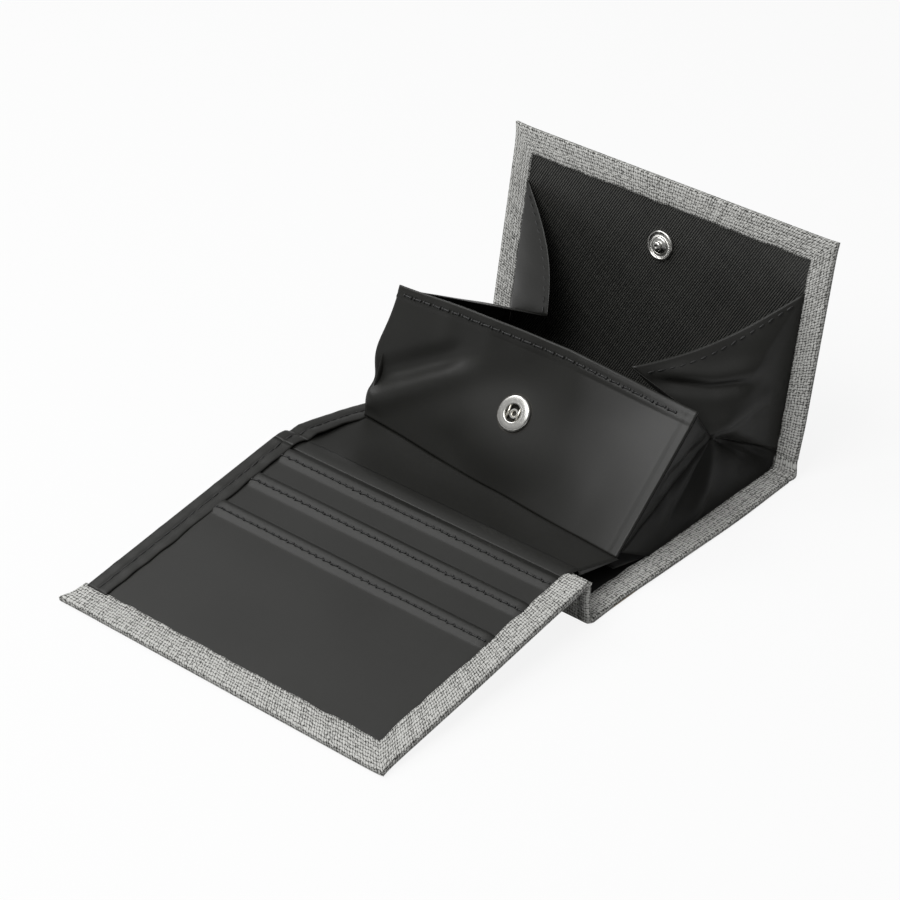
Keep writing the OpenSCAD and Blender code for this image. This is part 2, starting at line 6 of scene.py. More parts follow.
import bmesh
import bpy
from mathutils import Matrix, Vector, noise
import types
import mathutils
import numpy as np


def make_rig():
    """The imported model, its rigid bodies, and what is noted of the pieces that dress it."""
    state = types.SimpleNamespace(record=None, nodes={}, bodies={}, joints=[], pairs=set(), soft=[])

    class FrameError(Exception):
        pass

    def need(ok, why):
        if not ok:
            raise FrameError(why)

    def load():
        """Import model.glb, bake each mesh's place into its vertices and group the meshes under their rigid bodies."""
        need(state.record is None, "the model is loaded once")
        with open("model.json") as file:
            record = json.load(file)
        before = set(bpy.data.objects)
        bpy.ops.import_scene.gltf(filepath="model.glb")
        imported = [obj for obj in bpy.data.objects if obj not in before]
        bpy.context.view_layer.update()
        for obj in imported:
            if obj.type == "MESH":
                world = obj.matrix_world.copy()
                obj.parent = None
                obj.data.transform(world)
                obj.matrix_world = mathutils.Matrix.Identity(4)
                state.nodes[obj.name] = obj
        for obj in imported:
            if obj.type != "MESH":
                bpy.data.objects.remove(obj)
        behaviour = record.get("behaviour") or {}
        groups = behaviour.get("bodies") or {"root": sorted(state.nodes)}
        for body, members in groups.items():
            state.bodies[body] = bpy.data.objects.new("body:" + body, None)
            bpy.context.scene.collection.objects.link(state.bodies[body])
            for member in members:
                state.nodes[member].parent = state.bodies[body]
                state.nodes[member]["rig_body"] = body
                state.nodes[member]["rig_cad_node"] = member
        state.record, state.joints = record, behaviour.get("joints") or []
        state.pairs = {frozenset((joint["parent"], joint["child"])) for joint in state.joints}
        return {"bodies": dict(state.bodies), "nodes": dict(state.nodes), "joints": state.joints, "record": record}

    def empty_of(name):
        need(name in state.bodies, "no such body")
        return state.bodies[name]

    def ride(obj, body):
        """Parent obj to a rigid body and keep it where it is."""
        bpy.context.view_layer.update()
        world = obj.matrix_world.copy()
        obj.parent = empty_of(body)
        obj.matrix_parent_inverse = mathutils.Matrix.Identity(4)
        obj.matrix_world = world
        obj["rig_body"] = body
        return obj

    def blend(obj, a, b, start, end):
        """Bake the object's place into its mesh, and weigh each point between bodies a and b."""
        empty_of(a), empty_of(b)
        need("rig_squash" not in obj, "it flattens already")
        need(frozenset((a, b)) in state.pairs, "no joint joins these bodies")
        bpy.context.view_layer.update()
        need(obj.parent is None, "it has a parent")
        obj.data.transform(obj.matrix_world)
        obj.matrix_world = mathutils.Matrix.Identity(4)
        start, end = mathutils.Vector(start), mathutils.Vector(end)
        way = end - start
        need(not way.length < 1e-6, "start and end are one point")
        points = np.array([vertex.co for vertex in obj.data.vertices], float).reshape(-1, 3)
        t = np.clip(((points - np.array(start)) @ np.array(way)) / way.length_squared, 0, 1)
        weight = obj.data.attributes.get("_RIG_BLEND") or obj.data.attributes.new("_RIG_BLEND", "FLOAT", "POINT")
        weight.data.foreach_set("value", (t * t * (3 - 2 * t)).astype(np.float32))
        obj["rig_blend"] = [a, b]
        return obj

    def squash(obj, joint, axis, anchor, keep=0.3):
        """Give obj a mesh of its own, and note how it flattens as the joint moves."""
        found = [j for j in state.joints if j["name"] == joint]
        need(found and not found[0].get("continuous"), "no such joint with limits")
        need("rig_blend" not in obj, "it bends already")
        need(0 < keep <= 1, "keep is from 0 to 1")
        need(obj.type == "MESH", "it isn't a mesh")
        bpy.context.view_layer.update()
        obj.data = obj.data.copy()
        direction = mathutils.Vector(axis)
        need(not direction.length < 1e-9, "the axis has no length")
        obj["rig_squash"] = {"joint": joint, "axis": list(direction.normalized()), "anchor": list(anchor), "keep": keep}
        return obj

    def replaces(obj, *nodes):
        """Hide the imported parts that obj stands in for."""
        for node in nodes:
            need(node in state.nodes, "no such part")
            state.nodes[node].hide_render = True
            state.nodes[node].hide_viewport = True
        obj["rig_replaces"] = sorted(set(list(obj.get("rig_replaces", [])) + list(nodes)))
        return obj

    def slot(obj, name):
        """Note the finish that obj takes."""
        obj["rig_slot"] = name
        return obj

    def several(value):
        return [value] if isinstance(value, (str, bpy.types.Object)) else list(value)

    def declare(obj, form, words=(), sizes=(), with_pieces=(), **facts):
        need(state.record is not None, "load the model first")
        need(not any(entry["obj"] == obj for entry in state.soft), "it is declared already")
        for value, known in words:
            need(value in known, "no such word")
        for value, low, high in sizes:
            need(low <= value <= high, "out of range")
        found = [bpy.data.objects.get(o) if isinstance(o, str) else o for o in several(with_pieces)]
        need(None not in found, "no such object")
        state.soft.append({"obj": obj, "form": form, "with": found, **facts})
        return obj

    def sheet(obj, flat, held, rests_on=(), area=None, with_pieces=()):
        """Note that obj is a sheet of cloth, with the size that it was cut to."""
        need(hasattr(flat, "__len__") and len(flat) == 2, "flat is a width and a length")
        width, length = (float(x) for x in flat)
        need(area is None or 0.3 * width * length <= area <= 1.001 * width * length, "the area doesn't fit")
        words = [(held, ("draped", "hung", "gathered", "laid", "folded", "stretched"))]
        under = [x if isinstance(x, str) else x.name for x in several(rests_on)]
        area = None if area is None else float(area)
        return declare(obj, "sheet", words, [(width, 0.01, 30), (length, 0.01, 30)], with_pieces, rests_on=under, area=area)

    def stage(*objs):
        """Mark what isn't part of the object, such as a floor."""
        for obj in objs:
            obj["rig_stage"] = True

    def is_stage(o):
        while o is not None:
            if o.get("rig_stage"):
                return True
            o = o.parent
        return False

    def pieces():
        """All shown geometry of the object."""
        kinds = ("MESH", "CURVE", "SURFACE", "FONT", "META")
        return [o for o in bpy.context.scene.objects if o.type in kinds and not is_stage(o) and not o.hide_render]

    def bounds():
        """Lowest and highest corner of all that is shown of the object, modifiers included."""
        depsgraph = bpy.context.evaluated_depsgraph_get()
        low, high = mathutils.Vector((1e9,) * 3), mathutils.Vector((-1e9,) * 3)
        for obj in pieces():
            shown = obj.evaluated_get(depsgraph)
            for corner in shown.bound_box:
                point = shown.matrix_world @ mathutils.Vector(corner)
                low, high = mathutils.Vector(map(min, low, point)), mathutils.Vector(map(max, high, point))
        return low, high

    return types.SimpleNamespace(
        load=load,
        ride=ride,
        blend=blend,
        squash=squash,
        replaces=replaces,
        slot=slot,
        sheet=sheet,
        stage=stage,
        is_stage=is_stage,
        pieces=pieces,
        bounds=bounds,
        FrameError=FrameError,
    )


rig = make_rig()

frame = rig.load()
cadBox = [list(corner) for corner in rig.bounds()]
print("frame loaded")

mm = 0.001
foldPoint = {joint["name"]: Vector(joint["pos_m"]) for joint in frame["joints"]}

# Sizes that several pieces share, in millimetres and degrees
wallet = {
    "halfWidth": 52.5, "border": 7, "binding": 7, "canvas": 0.35, "nylon": 0.16,
    "edgeWave": 0.22, "baseThick": 1.79, "cardLength": 76.8, "cardThick": 2.07,
    "lidLength": 61.1, "lidThick": 1.81, "lidAngle": 78.3, "spineThick": 1.68,
    "flapRise": 52, "flapDrop": 0.82, "socketFromFold": 23.2, "studFromFold": 43.6,
}
halfW = wallet["halfWidth"]
spineY = foldPoint["spine_fold"].y / mm
topZ = foldPoint["card_panel_fold"].z / mm
cardMid = wallet["cardThick"] / 2
lidMid = wallet["lidThick"] / 2
cardTilt = math.degrees(math.asin((topZ - cardMid) / wallet["cardLength"]))
skinMiddle = 0.2  # the outer canvas's middle, above the face that it covers


def turnedFrame(origin, angle, depth):  # y runs along the panel, z through it and inwards
    turn = Matrix.Rotation(math.radians(angle), 4, "X")
    return Matrix.Translation(origin) @ turn @ Matrix.Translation((0, 0, -depth * mm))


baseFrame = Matrix.Translation((0, spineY * mm, 0))
cardFrame = turnedFrame(foldPoint["card_panel_fold"], cardTilt, cardMid)
lidFrame = turnedFrame(foldPoint["coin_lid_fold"], wallet["lidAngle"], lidMid)
flapFrame = turnedFrame(foldPoint["coin_flap_fold"], wallet["flapRise"], wallet["flapDrop"])


def at(panel, x, y, z):  # a point of a panel's frame, in millimetres
    return panel @ Vector((x * mm, y * mm, z * mm))


def facing(panel):
    return (panel.to_3x3() @ Vector((0, 0, 1))).normalized()


def mix(a, b, t):
    return a + (b - a) * t


def smooth(low, high, value):
    t = min(1, max(0, (value - low) / (high - low)))
    return t * t * (3 - 2 * t)


def arch(t):  # 0 at both ends, 1 in the middle
    return math.sin(math.pi * t)


def bump(value, centre, width):
    return math.exp(-((value - centre) / width) ** 2)


def wave(x, y, seed=0, scale=9):  # slow even noise between about -1 and 1
    return noise.noise(Vector((x / scale, y / scale, seed))) * 1.6


# Materials
def addGroup(name, inputs, outputs):
    group = bpy.data.node_groups.new(name, "ShaderNodeTree")
    for label, value in inputs.items():
        kind = "NodeSocketVector" if value is None else "NodeSocketFloat"
        socket = group.interface.new_socket(name=label, in_out="INPUT", socket_type=kind)
        if value is not None:
            socket.default_value = value
    for label in outputs:
        group.interface.new_socket(name=label, in_out="OUTPUT", socket_type="NodeSocketFloat")
    return group


def wire(tree, kind, **settings):
    node = tree.nodes.new(kind)
    for key, value in settings.items():
        setattr(node, key, value)
    return node


def calc(tree, operation, *values):
    node = wire(tree, "ShaderNodeMath", operation=operation)
    for slot, value in enumerate(values):
        if isinstance(value, (int, float)):
            node.inputs[slot].default_value = value
        else:
            tree.links.new(value, node.inputs[slot])
    return node.outputs[0]


def vectorCalc(tree, operation, vector, other):  # other is a tuple, or an output
    node = wire(tree, "ShaderNodeVectorMath", operation=operation)
    tree.links.new(vector, node.inputs[0])
    slot = node.inputs["Scale" if operation == "SCALE" else 1]
    if isinstance(other, tuple):
        slot.default_value = other
    else:
        tree.links.new(other, slot)
    return node.outputs[0]


def pick(tree, factor, a, b):  # a where the factor is 0, b where it is 1
    node = wire(tree, "ShaderNodeMix", data_type="FLOAT")
    for label, value in (("Factor", factor), ("A", a), ("B", b)):
        tree.links.new(value, node.inputs[label])
    return node.outputs["Result"]


def noiseOf(tree, place, scale, detail=2):
    node = wire(tree, "ShaderNodeTexNoise")
    node.inputs["Scale"].default_value = scale
    node.inputs["Detail"].default_value = detail
    tree.links.new(place, node.inputs["Vector"])
    return node.outputs


def makeWeaveGroup():  # two sets of threads that pass over and under each other
    group = addGroup("plainWeave", {"Place": None, "Pitch": 0.0006, "Wobble": 0.3,
                                    "Round": 0.6, "Ridge": 0}, ["Height", "Thread"])
    links, do = group.links, partial(calc, group)
    source = wire(group, "NodeGroupInput").outputs
    result = wire(group, "NodeGroupOutput").inputs
    scaled = vectorCalc(group, "SCALE", source["Place"], do("DIVIDE", 1, source["Pitch"]))
    drift = noiseOf(group, scaled, 0.6, 3)["Color"]
    centred = vectorCalc(group, "SUBTRACT", drift, (0.5, 0.5, 0.5))
    moved = vectorCalc(group, "ADD", scaled,
                       vectorCalc(group, "SCALE", centred, source["Wobble"]))
    parts = wire(group, "ShaderNodeSeparateXYZ")
    links.new(moved, parts.inputs[0])
    sines, sides, tones = [], [], []
    for axis in ("X", "Y"):
        sines.append(do("SINE", do("MULTIPLY", parts.outputs[axis], math.pi)))
        sides.append(do("POWER", do("ABSOLUTE", sines[-1]), source["Round"]))
        white = wire(group, "ShaderNodeTexWhiteNoise", noise_dimensions="1D")
        links.new(do("FLOOR", parts.outputs[axis]), white.inputs["W"])
        tones.append(white.outputs["Value"])  # one even value per thread
    over = do("GREATER_THAN", do("MULTIPLY", *sines), 0)
    gaps = [do("SUBTRACT", 1, side) for side in sides]
    knots = do("SUBTRACT", 1, do("MULTIPLY", *gaps))  # low where four meet
    height = do("ADD", do("MULTIPLY", knots, 0.4),
                do("MULTIPLY", pick(group, over, sides[1], sides[0]), 0.6))
    links.new(pick(group, source["Ridge"], height, sides[0]), result["Height"])
    links.new(pick(group, over, tones[1], tones[0]), result["Thread"])
    return group


weaveGroup = makeWeaveGroup()


def newMaterial(name):
    material = bpy.data.materials.new(name)
    material.use_nodes = True
    return material, material.node_tree, material.node_tree.nodes["Principled BSDF"]


def ramp(tree, value, stops):
    node = wire(tree, "ShaderNodeValToRGB")
    elements = node.color_ramp.elements
    while len(elements) < len(stops):
        elements.new(0.5)
    for element, (place, colour) in zip(elements, stops):
        element.position = place
        element.color = (*colour, 1)
    tree.links.new(value, node.inputs["Fac"])
    return node.outputs["Color"]


def addRelief(tree, shader, height, strength, depth):
    relief = wire(tree, "ShaderNodeBump")
    relief.inputs["Strength"].default_value = strength
    relief.inputs["Distance"].default_value = depth
    tree.links.new(height, relief.inputs["Height"])
    tree.links.new(relief.outputs["Normal"], shader.inputs["Normal"])


def clothMaterial(name, look):
    material, tree, shader = newMaterial(name)
    links, do = tree.links, partial(calc, tree)
    place = wire(tree, "ShaderNodeTexCoord").outputs["UV"]
    weave = wire(tree, "ShaderNodeGroup", node_tree=weaveGroup)
    turned = wire(tree, "ShaderNodeMapping")
    turned.inputs["Rotation"].default_value = (0, 0, math.radians(look["turn"]))
    links.new(place, turned.inputs["Vector"])
    links.new(turned.outputs["Vector"], weave.inputs["Place"])
    for label in ("Pitch", "Wobble", "Round", "Ridge"):
        weave.inputs[label].default_value = look[label.lower()]
    height = weave.outputs["Height"]
    cloud = noiseOf(tree, place, look["cloudScale"])["Fac"]
    tone = do("ADD", do("MULTIPLY", height, look["deep"]),
              do("MULTIPLY", weave.outputs["Thread"], look["threadTone"]))
    for value, share in ((noiseOf(tree, place, look["fleckScale"], 3)["Fac"], look["fleck"]),
                         (cloud, look["cloud"])):
        tone = do("ADD", tone, do("MULTIPLY", value, share))
    links.new(ramp(tree, tone, look["stops"]), shader.inputs["Base Color"])
    dull = do("MULTIPLY_ADD", cloud, look["patchy"], look["rough"])
    links.new(do("SUBTRACT", dull, do("MULTIPLY", height, look["shine"])),
              shader.inputs["Roughness"])
    addRelief(tree, shader, height, look["relief"], look["depth"])
    shader.inputs["Specular IOR Level"].default_value = look["specular"]
    return material


canvasLook = {
    "pitch": 0.00082, "wobble": 1.25, "round": 0.75, "ridge": 0, "turn": 0, "fleckScale": 1100,
    "cloudScale": 60, "deep": 0.62, "threadTone": 0.2, "fleck": 0.62, "cloud": 0.06,
    "patchy": 0.05, "rough": 0.85, "shine": 0.05, "relief": 1, "depth": 0.00024,
    "specular": 0.2,
    "stops": [(0.52, (0.008, 0.008, 0.007)), (0.73, (0.075, 0.075, 0.07)),
              (0.88, (0.25, 0.25, 0.238)), (1, (0.44, 0.44, 0.423))],
}
nylonLook = {
    "pitch": 0.0002, "wobble": 0.1, "round": 0.6, "ridge": 0, "turn": 0, "fleckScale": 2500,
    "cloudScale": 45, "deep": 0.3, "threadTone": 0.1, "fleck": 0.2, "cloud": 0.25,
    "patchy": 0.06, "rough": 0.45, "shine": 0.04, "relief": 0.22, "depth": 0.00002,
    "specular": 0.29,
    "stops": [(0, (0.0072, 0.0072, 0.0062)), (0.5, (0.0104, 0.0104, 0.0092)),
              (1, (0.0165, 0.0165, 0.0145))],
}
ribbedLook = {  # a twill: its ribs cross the lid at about 60 degrees
    "pitch": 0.00066, "wobble": 0.2, "round": 1.5, "ridge": 0.72, "turn": 28, "fleckScale": 1600,
    "cloudScale": 40, "deep": 0.75, "threadTone": 0.15, "fleck": 0.25, "cloud": 0.1,
    "patchy": 0.05, "rough": 0.6, "shine": 0.3, "relief": 1, "depth": 0.00025,
    "specular": 0.48,
    "stops": [(0.35, (0.0003, 0.0003, 0.0002)), (0.64, (0.002, 0.002, 0.0017)),
              (0.92, (0.05, 0.05, 0.045))],
}
shadedLook = {**nylonLook, "specular": 0.16, "stops": [
    (spot, tuple(0.6 * part for part in colour)) for spot, colour in nylonLook["stops"]]}
# Each finish is a material and the name of its slot
canvas = (clothMaterial("greyCanvas", canvasLook), "canvas")
nylon = (clothMaterial("blackNylon", nylonLook), "nylon")
shadedNylon = (clothMaterial("shadedNylon", shadedLook), "nylon")
ribbed = (clothMaterial("ribbedBlackCanvas", ribbedLook), "ribbed_lining")


def plainMaterial(name, colour, rough, metal=0, grain=400, depth=0.00005, spread=0.25):
    material, tree, shader = newMaterial(name)
    place = wire(tree, "ShaderNodeTexCoord").outputs["Object"]
    speckle = noiseOf(tree, place, grain, 4)["Fac"]
    dark = tuple(channel * (1 - spread) for channel in colour)
    light = tuple(min(1, channel * (1 + spread)) for channel in colour)
    tree.links.new(ramp(tree, speckle, [(0.3, dark), (0.7, light)]), shader.inputs["Base Color"])
    tree.links.new(calc(tree, "MULTIPLY_ADD", speckle, 0.08, rough), shader.inputs["Roughness"])
    addRelief(tree, shader, speckle, 0.3, depth)
    shader.inputs["Metallic"].default_value = metal
    return material


nickel = (plainMaterial("nickelPlate", (0.56, 0.555, 0.53), 0.22, 1, 900, 0.000002, 0.06),
          "nickel")
# painted shade: a near-black copy of the nickel, for the socket's chamber and the shadow ring round the socket
paintedShadeMetal = (plainMaterial("shadedNickel", (0.035, 0.033, 0.028), 0.5, 0.6, 900, 0.00001),
             "nickel")
springWire = (plainMaterial("springWire", (0.6, 0.58, 0.52), 0.25, 1, 900, 0.00001),
              "spring_wire")
board = plainMaterial("fibreBoard", (0.3, 0.26, 0.2), 0.8)
liningCloth = plainMaterial("innerLining", (0.012, 0.012, 0.011), 0.7, 0, 3000)
blackThread = (plainMaterial("blackThread", (0.006, 0.006, 0.006), 0.55, 0, 4000),
               "black_thread")
greyThread = (plainMaterial("greyThread", (0.4, 0.4, 0.38), 0.8, 0, 4000), "grey_thread")
print("materials made")


# Mesh helpers
def sheetMesh(cols, rows, size, shape):  # a grid of cloth, its UV in metres of flat cloth
    bm = bmesh.new()
    bmesh.ops.create_grid(bm, x_segments=cols, y_segments=rows, size=0.5)
    layer = bm.loops.layers.uv.new("flat")
    for face in bm.faces:
        for loop in face.loops:
            u, v = loop.vert.co.x + 0.5, loop.vert.co.y + 0.5
            loop[layer].uv = (u * size[0] * mm, v * size[1] * mm)
    for vert in bm.verts:
        vert.co = shape(vert.co.x + 0.5, vert.co.y + 0.5)
    return bm


def meshOf(name, bm):
    mesh = bpy.data.meshes.new(name)
    bm.to_mesh(mesh)
    bm.free()
    return mesh


def joinMesh(parts):
    whole = bmesh.new()
    for part in parts:
        mesh = meshOf("part", part)
        whole.from_mesh(mesh)
        bpy.data.meshes.remove(mesh)
    bmesh.ops.remove_doubles(whole, verts=whole.verts[:], dist=0.02 * mm)
    return whole


def addObject(name, data):
    thing = bpy.data.objects.new(name, data)
    bpy.context.scene.collection.objects.link(thing)
    return thing


def addPiece(name, bm, finish, thickness=0):
    mesh = meshOf(name, bm)
    material, slotName = finish
    mesh.materials.append(material)
    mesh.shade_smooth()
    piece = addObject(name, mesh)
    if thickness:
        shell = piece.modifiers.new("thickness", "SOLIDIFY")
        shell.thickness = thickness * mm
        shell.offset = 0
    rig.slot(piece, slotName)
    return piece


def cloth(name, bm, finish, thickness, held, restsOn, flat, withPieces=()):
    area = sum(face.calc_area() for face in bm.faces)
    piece = addPiece(name, bm, finish, thickness)
    flat = (flat[0] * mm, flat[1] * mm)
    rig.sheet(piece, flat=flat, held=held, rests_on=restsOn, area=min(area, flat[0] * flat[1]),
             with_pieces=withPieces)
    return piece


def fit(piece, body, *nodes):
    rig.ride(piece, body)
    if nodes:
        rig.replaces(piece, *nodes)
    return piece


def refinish(material, *names):  # for CAD nodes that are shown as they are
    for name in names:
        materials = frame["nodes"][name].data.materials
        materials.clear()
        materials.append(material)


def lineArc(points):  # the distance run at each of a line's points
    arc = [0]
    for (a, b), (c, d) in zip(points, points[1:]):
        arc.append(arc[-1] + math.hypot(c - a, d - b))
    return arc


# A turned-in canvas edge: it wraps an edge of a panel, from the outer face to the inner one
def edgeProfile(thick, width):
    skin = wallet["canvas"] / 2
    low, high = skin, thick - skin
    points = [(3, low), (1.2, low), (0.5, low + 0.03), (skin, low + 0.3), (skin, thick / 2),
              (skin, high - 0.3), (0.5, high - 0.03), (1.2, high)]
    points += [(mix(1.2, width - 0.3, step / 5), high) for step in (1, 2, 3, 4, 5)]
    return points + [(width, high - 0.18), (width - 0.3, high - 0.35)]


def setBandUv(part, profile, arc, along, across):  # the weave follows the turned-in edge
    layer = part.loops.layers.uv.active
    for face in part.faces:
        for loop in face.loops:
            u, v = loop[layer].uv
            step = round(v / (arc[-1] * mm) * (len(profile) - 1))
            loop[layer].uv = (u + along * mm, (arc[step] + across) * mm)


def borderBand(panel, corners, thick, width, seed, outline):
    profile = edgeProfile(thick, width)
    arc = lineArc(profile)
    normals = []
    for a, b in zip(corners, corners[1:]):
        run = (Vector(b) - Vector(a)).normalized()
        normals.append(Vector((-run.y, run.x)))
    mitres = [normals[0]]
    for a, b in zip(normals, normals[1:]):
        mitres.append((a + b) / (1 + a.dot(b)))
    mitres.append(normals[-1])
    parts, passed = [], 0
    for index, (a, b) in enumerate(zip(corners, corners[1:])):
        a, b = Vector(a), Vector(b)
        length = (b - a).length
        cols = max(4, int(length / 0.8))

        def shape(u, v, a=a, b=b, index=index, passed=passed, length=length):
            step = round(v * (len(profile) - 1))
            inward, height = profile[step]
            inner = smooth(2, width, inward) if step > 7 else 0
            inward += wave(passed + u * length, 3 * seed, seed, 5) * wallet["edgeWave"] * inner
            dent = wave(passed + u * length, inward, seed + 4, 4)
            height += 0.07 * dent * smooth(0.5, 2, inward)
            point = a.lerp(b, u) + mitres[index].lerp(mitres[index + 1], u) * inward
            return at(panel, *outline(point.x, point.y), height)

        part = sheetMesh(cols, len(profile) - 1, (length, arc[-1]), shape)
        setBandUv(part, profile, arc, passed + seed * 11, 0)
        parts.append(part)
        passed += length
    return parts


# A fold line: (y, z) of the cloth's middle, and the way its inner face looks
def foldPath(start, startNormal, corner, end, endNormal, steps, pull=1):
    path = []
    for step in range(steps + 1):
        t = step / steps
        shares = ((1 - t) ** 2, 2 * pull * t * (1 - t), t * t)
        point = sum((spot * share for spot, share in zip((start, corner, end), shares)),
                    Vector((0, 0))) / sum(shares)
        turn = startNormal.angle_signed(endNormal)
        normal = startNormal.copy()
        normal.rotate(Matrix.Rotation(-turn * smooth(0, 1, t), 2))
        path.append((point, normal))
    return path


def pathRun(path):
    return sum((b[0] - a[0]).length for a, b in zip(path, path[1:]))


def foldSheet(path, x, offset, squeeze):
    def shape(u, v):
        point, normal = path[round(v * (len(path) - 1))]
        spot = point + normal * offset * mix(1, squeeze, arch(v))
        return Vector((mix(*x, u), spot.x, spot.y)) * mm

    width = x[1] - x[0]
    return sheetMesh(int(width / 2), len(path) - 1, (width, pathRun(path)), shape)


def foldBorder(path, thick, width, side, seed, squeeze, inner=(1, 1), bulge=-0.3):
    profile = edgeProfile(thick, width)
    arc = lineArc(profile)

    def shape(u, v):
        point, normal = path[round(u * (len(path) - 1))]
        inward, height = profile[round(v * (len(profile) - 1))]
        offset = height - thick / 2
        tight = squeeze[1] if offset > 0 else squeeze[0]
        offset *= mix(*inner, smooth(0, 1, u)) if offset > 0 else 1
        spot = point + normal * offset * mix(1, tight, arch(u))
        rim = (2 * offset / (thick - wallet["canvas"])) ** 2 * bump(inward, 0, 0.9)
        inward += 0.45 * rim - bulge * arch(u) * bump(inward, 0, 1.5)
        return Vector((side * (halfW - inward), spot.x, spot.y)) * mm

    part = sheetMesh(len(path) - 1, len(profile) - 1, (pathRun(path), arc[-1]), shape)
    setBandUv(part, profile, arc, seed * 17, 0)
    if side < 0:
        bmesh.ops.reverse_faces(part, faces=part.faces[:])
    return part


def flatSheet(panel, x, y, height, step=2.5, outline=None):
    size = (x[1] - x[0], y[1] - y[0])
    cols, rows = (max(2, int(reach / step)) for reach in size)
    rise = height if callable(height) else lambda px, py: height
    outline = outline or (lambda px, py: (px, py))

    def shape(u, v):
        px, py = mix(*x, u), mix(*y, v)
        return at(panel, *outline(px, py), rise(px, py))

    return sheetMesh(cols, rows, size, shape)


def stitchRow(name, path, look, finish, seed):
    bm = bmesh.new()
    draw = random.Random(seed)
    total = sum((b - a).length for a, b in zip(path, path[1:]))
    place, index, gone = look["pitch"] * mm / 2, 0, 0
    while place < total and index < len(path) - 1:
        span = (path[index + 1] - path[index]).length
        if gone + span < place:
            gone += span
            index += 1
            continue
        along = (path[index + 1] - path[index]).normalized()
        centre = path[index] + along * (place - gone)
        side = Vector((0, 0, 1)).cross(along)
        side = side.normalized() if side.length > 0.01 else Vector((1, 0, 0))
        up = along.cross(side).normalized()
        turn = Matrix((along, side, up)).transposed().to_4x4()
        yaw = Matrix.Rotation(look.get("slant", 0) + draw.uniform(-0.12, 0.12), 4, "Z")
        half = look["length"] * mm / 2 * draw.uniform(0.85, 1.1)
        wide = look["width"] * mm / 2
        beads = [(0, half, wide)]
        if look.get("knot"):
            beads += [(-half * 0.9, wide * 1.2, wide * 1.5), (half * 0.9, wide * 1.2, wide * 1.5)]
        for shift, reach, girth in beads:
            bmesh.ops.create_uvsphere(
                bm, u_segments=8, v_segments=5, radius=1,
                matrix=Matrix.Translation(centre) @ turn @ yaw @ Matrix.Translation((shift, 0, 0))
                @ Matrix.Diagonal((reach, girth, girth, 1)) @ Matrix.Rotation(math.pi / 2, 4, "Y"))
        place += look["pitch"] * mm * draw.uniform(0.94, 1.06)
    return addPiece(name, bm, finish)


# Stitches: lengths in millimetres, slant in radians; a knot adds a bead at each end
pocketStitch = {"pitch": 2.5, "length": 2.1, "width": 0.5, "slant": 0.12, "knot": True,
                "lift": 0.16}
bindingStitch = {"pitch": 2.9, "length": 2.7, "width": 0.46, "edgeIn": 3.55, "step": 1.5,
                 "lift": 0.28}
borderStitch = {"pitch": 3.1, "length": 2.2, "width": 0.3, "edgeIn": 3.6, "lift": 0.02}
hemStitch = {"pitch": 3.3, "length": 2.5, "width": 0.62, "knot": True, "lift": 0.42}
gussetStitch = {"pitch": 2.8, "length": 2.2, "width": 0.45, "slant": 0.2}


def borderRow(panel, thick, x, y):  # each of x and y is one place, or the places along the row
    rise = thick + borderStitch["lift"]
    if isinstance(x, range):
        return [at(panel, spot, y, rise) for spot in x]
    return [at(panel, x, spot, rise) for spot in y]


# Card side; each ear is (side, how far out along x, along y, size)
card = {
    "pocketLengths": (73.5, 62.1, 48.9), "hem": 3.6, "wall": 1.26, "layer": 0.16,
    "mouthLift": (0.4, 0.45, 0.45), "hemLift": 0.36, "stitchIn": 2.7, "end": -1.2, "wallEnd": -2,
    "ears": [(-1, 2.6, 0.1, 2), (1, 0.5, -0.3, 1.6)], "frontOut": 0.45, "leftIn": 0.7,
    "rightIn": 0.35,
}
length = wallet["cardLength"]


def pullEars(ears, x, y, endY):  # small pointed ears where the canvas is folded at the corners
    for side, outX, outY, size in ears:
        share = math.exp(-math.hypot(x - side * halfW, y - endY) / size)
        x += side * outX * share
        y += math.copysign(share, endY) * outY
    return x, y


def cardOutline(x, y):
    x, y = pullEars(card["ears"], x, y, -length)
    y -= card["frontOut"] * smooth(-length + 8, -length, y)
    x -= card["rightIn"] * smooth(30, halfW, x) * smooth(-50, -10, y)
    return x, y


cardCorners = [(-halfW, -length), (halfW, -length), (halfW, card["end"])]
bands = borderBand(cardFrame, cardCorners, wallet["cardThick"], wallet["border"], 1, cardOutline)
bands.append(flatSheet(cardFrame, (-halfW + 0.3, halfW - 1), (-length + 1, card["end"]),
                       skinMiddle, 1.5, cardOutline))
fit(cloth("card_canvas", joinMesh(bands), canvas, wallet["canvas"], "stretched", ["card_board"],
          (119, 90)), "card_side", "card_cover")


def wallHeight(x, y):
    return card["wall"] + 0.1 * wave(x, y, 7, 22) * smooth(0, 6, card["wallEnd"] - y)


backing = flatSheet(cardFrame, (-halfW + 1.4, halfW - 3), (-length + 1, card["wallEnd"]),
                    wallHeight)
fit(cloth("card_backing_cloth", backing, nylon, wallet["nylon"], "laid", ["card_board"],
          (101, length - 3)), "card_side", "card_backing")

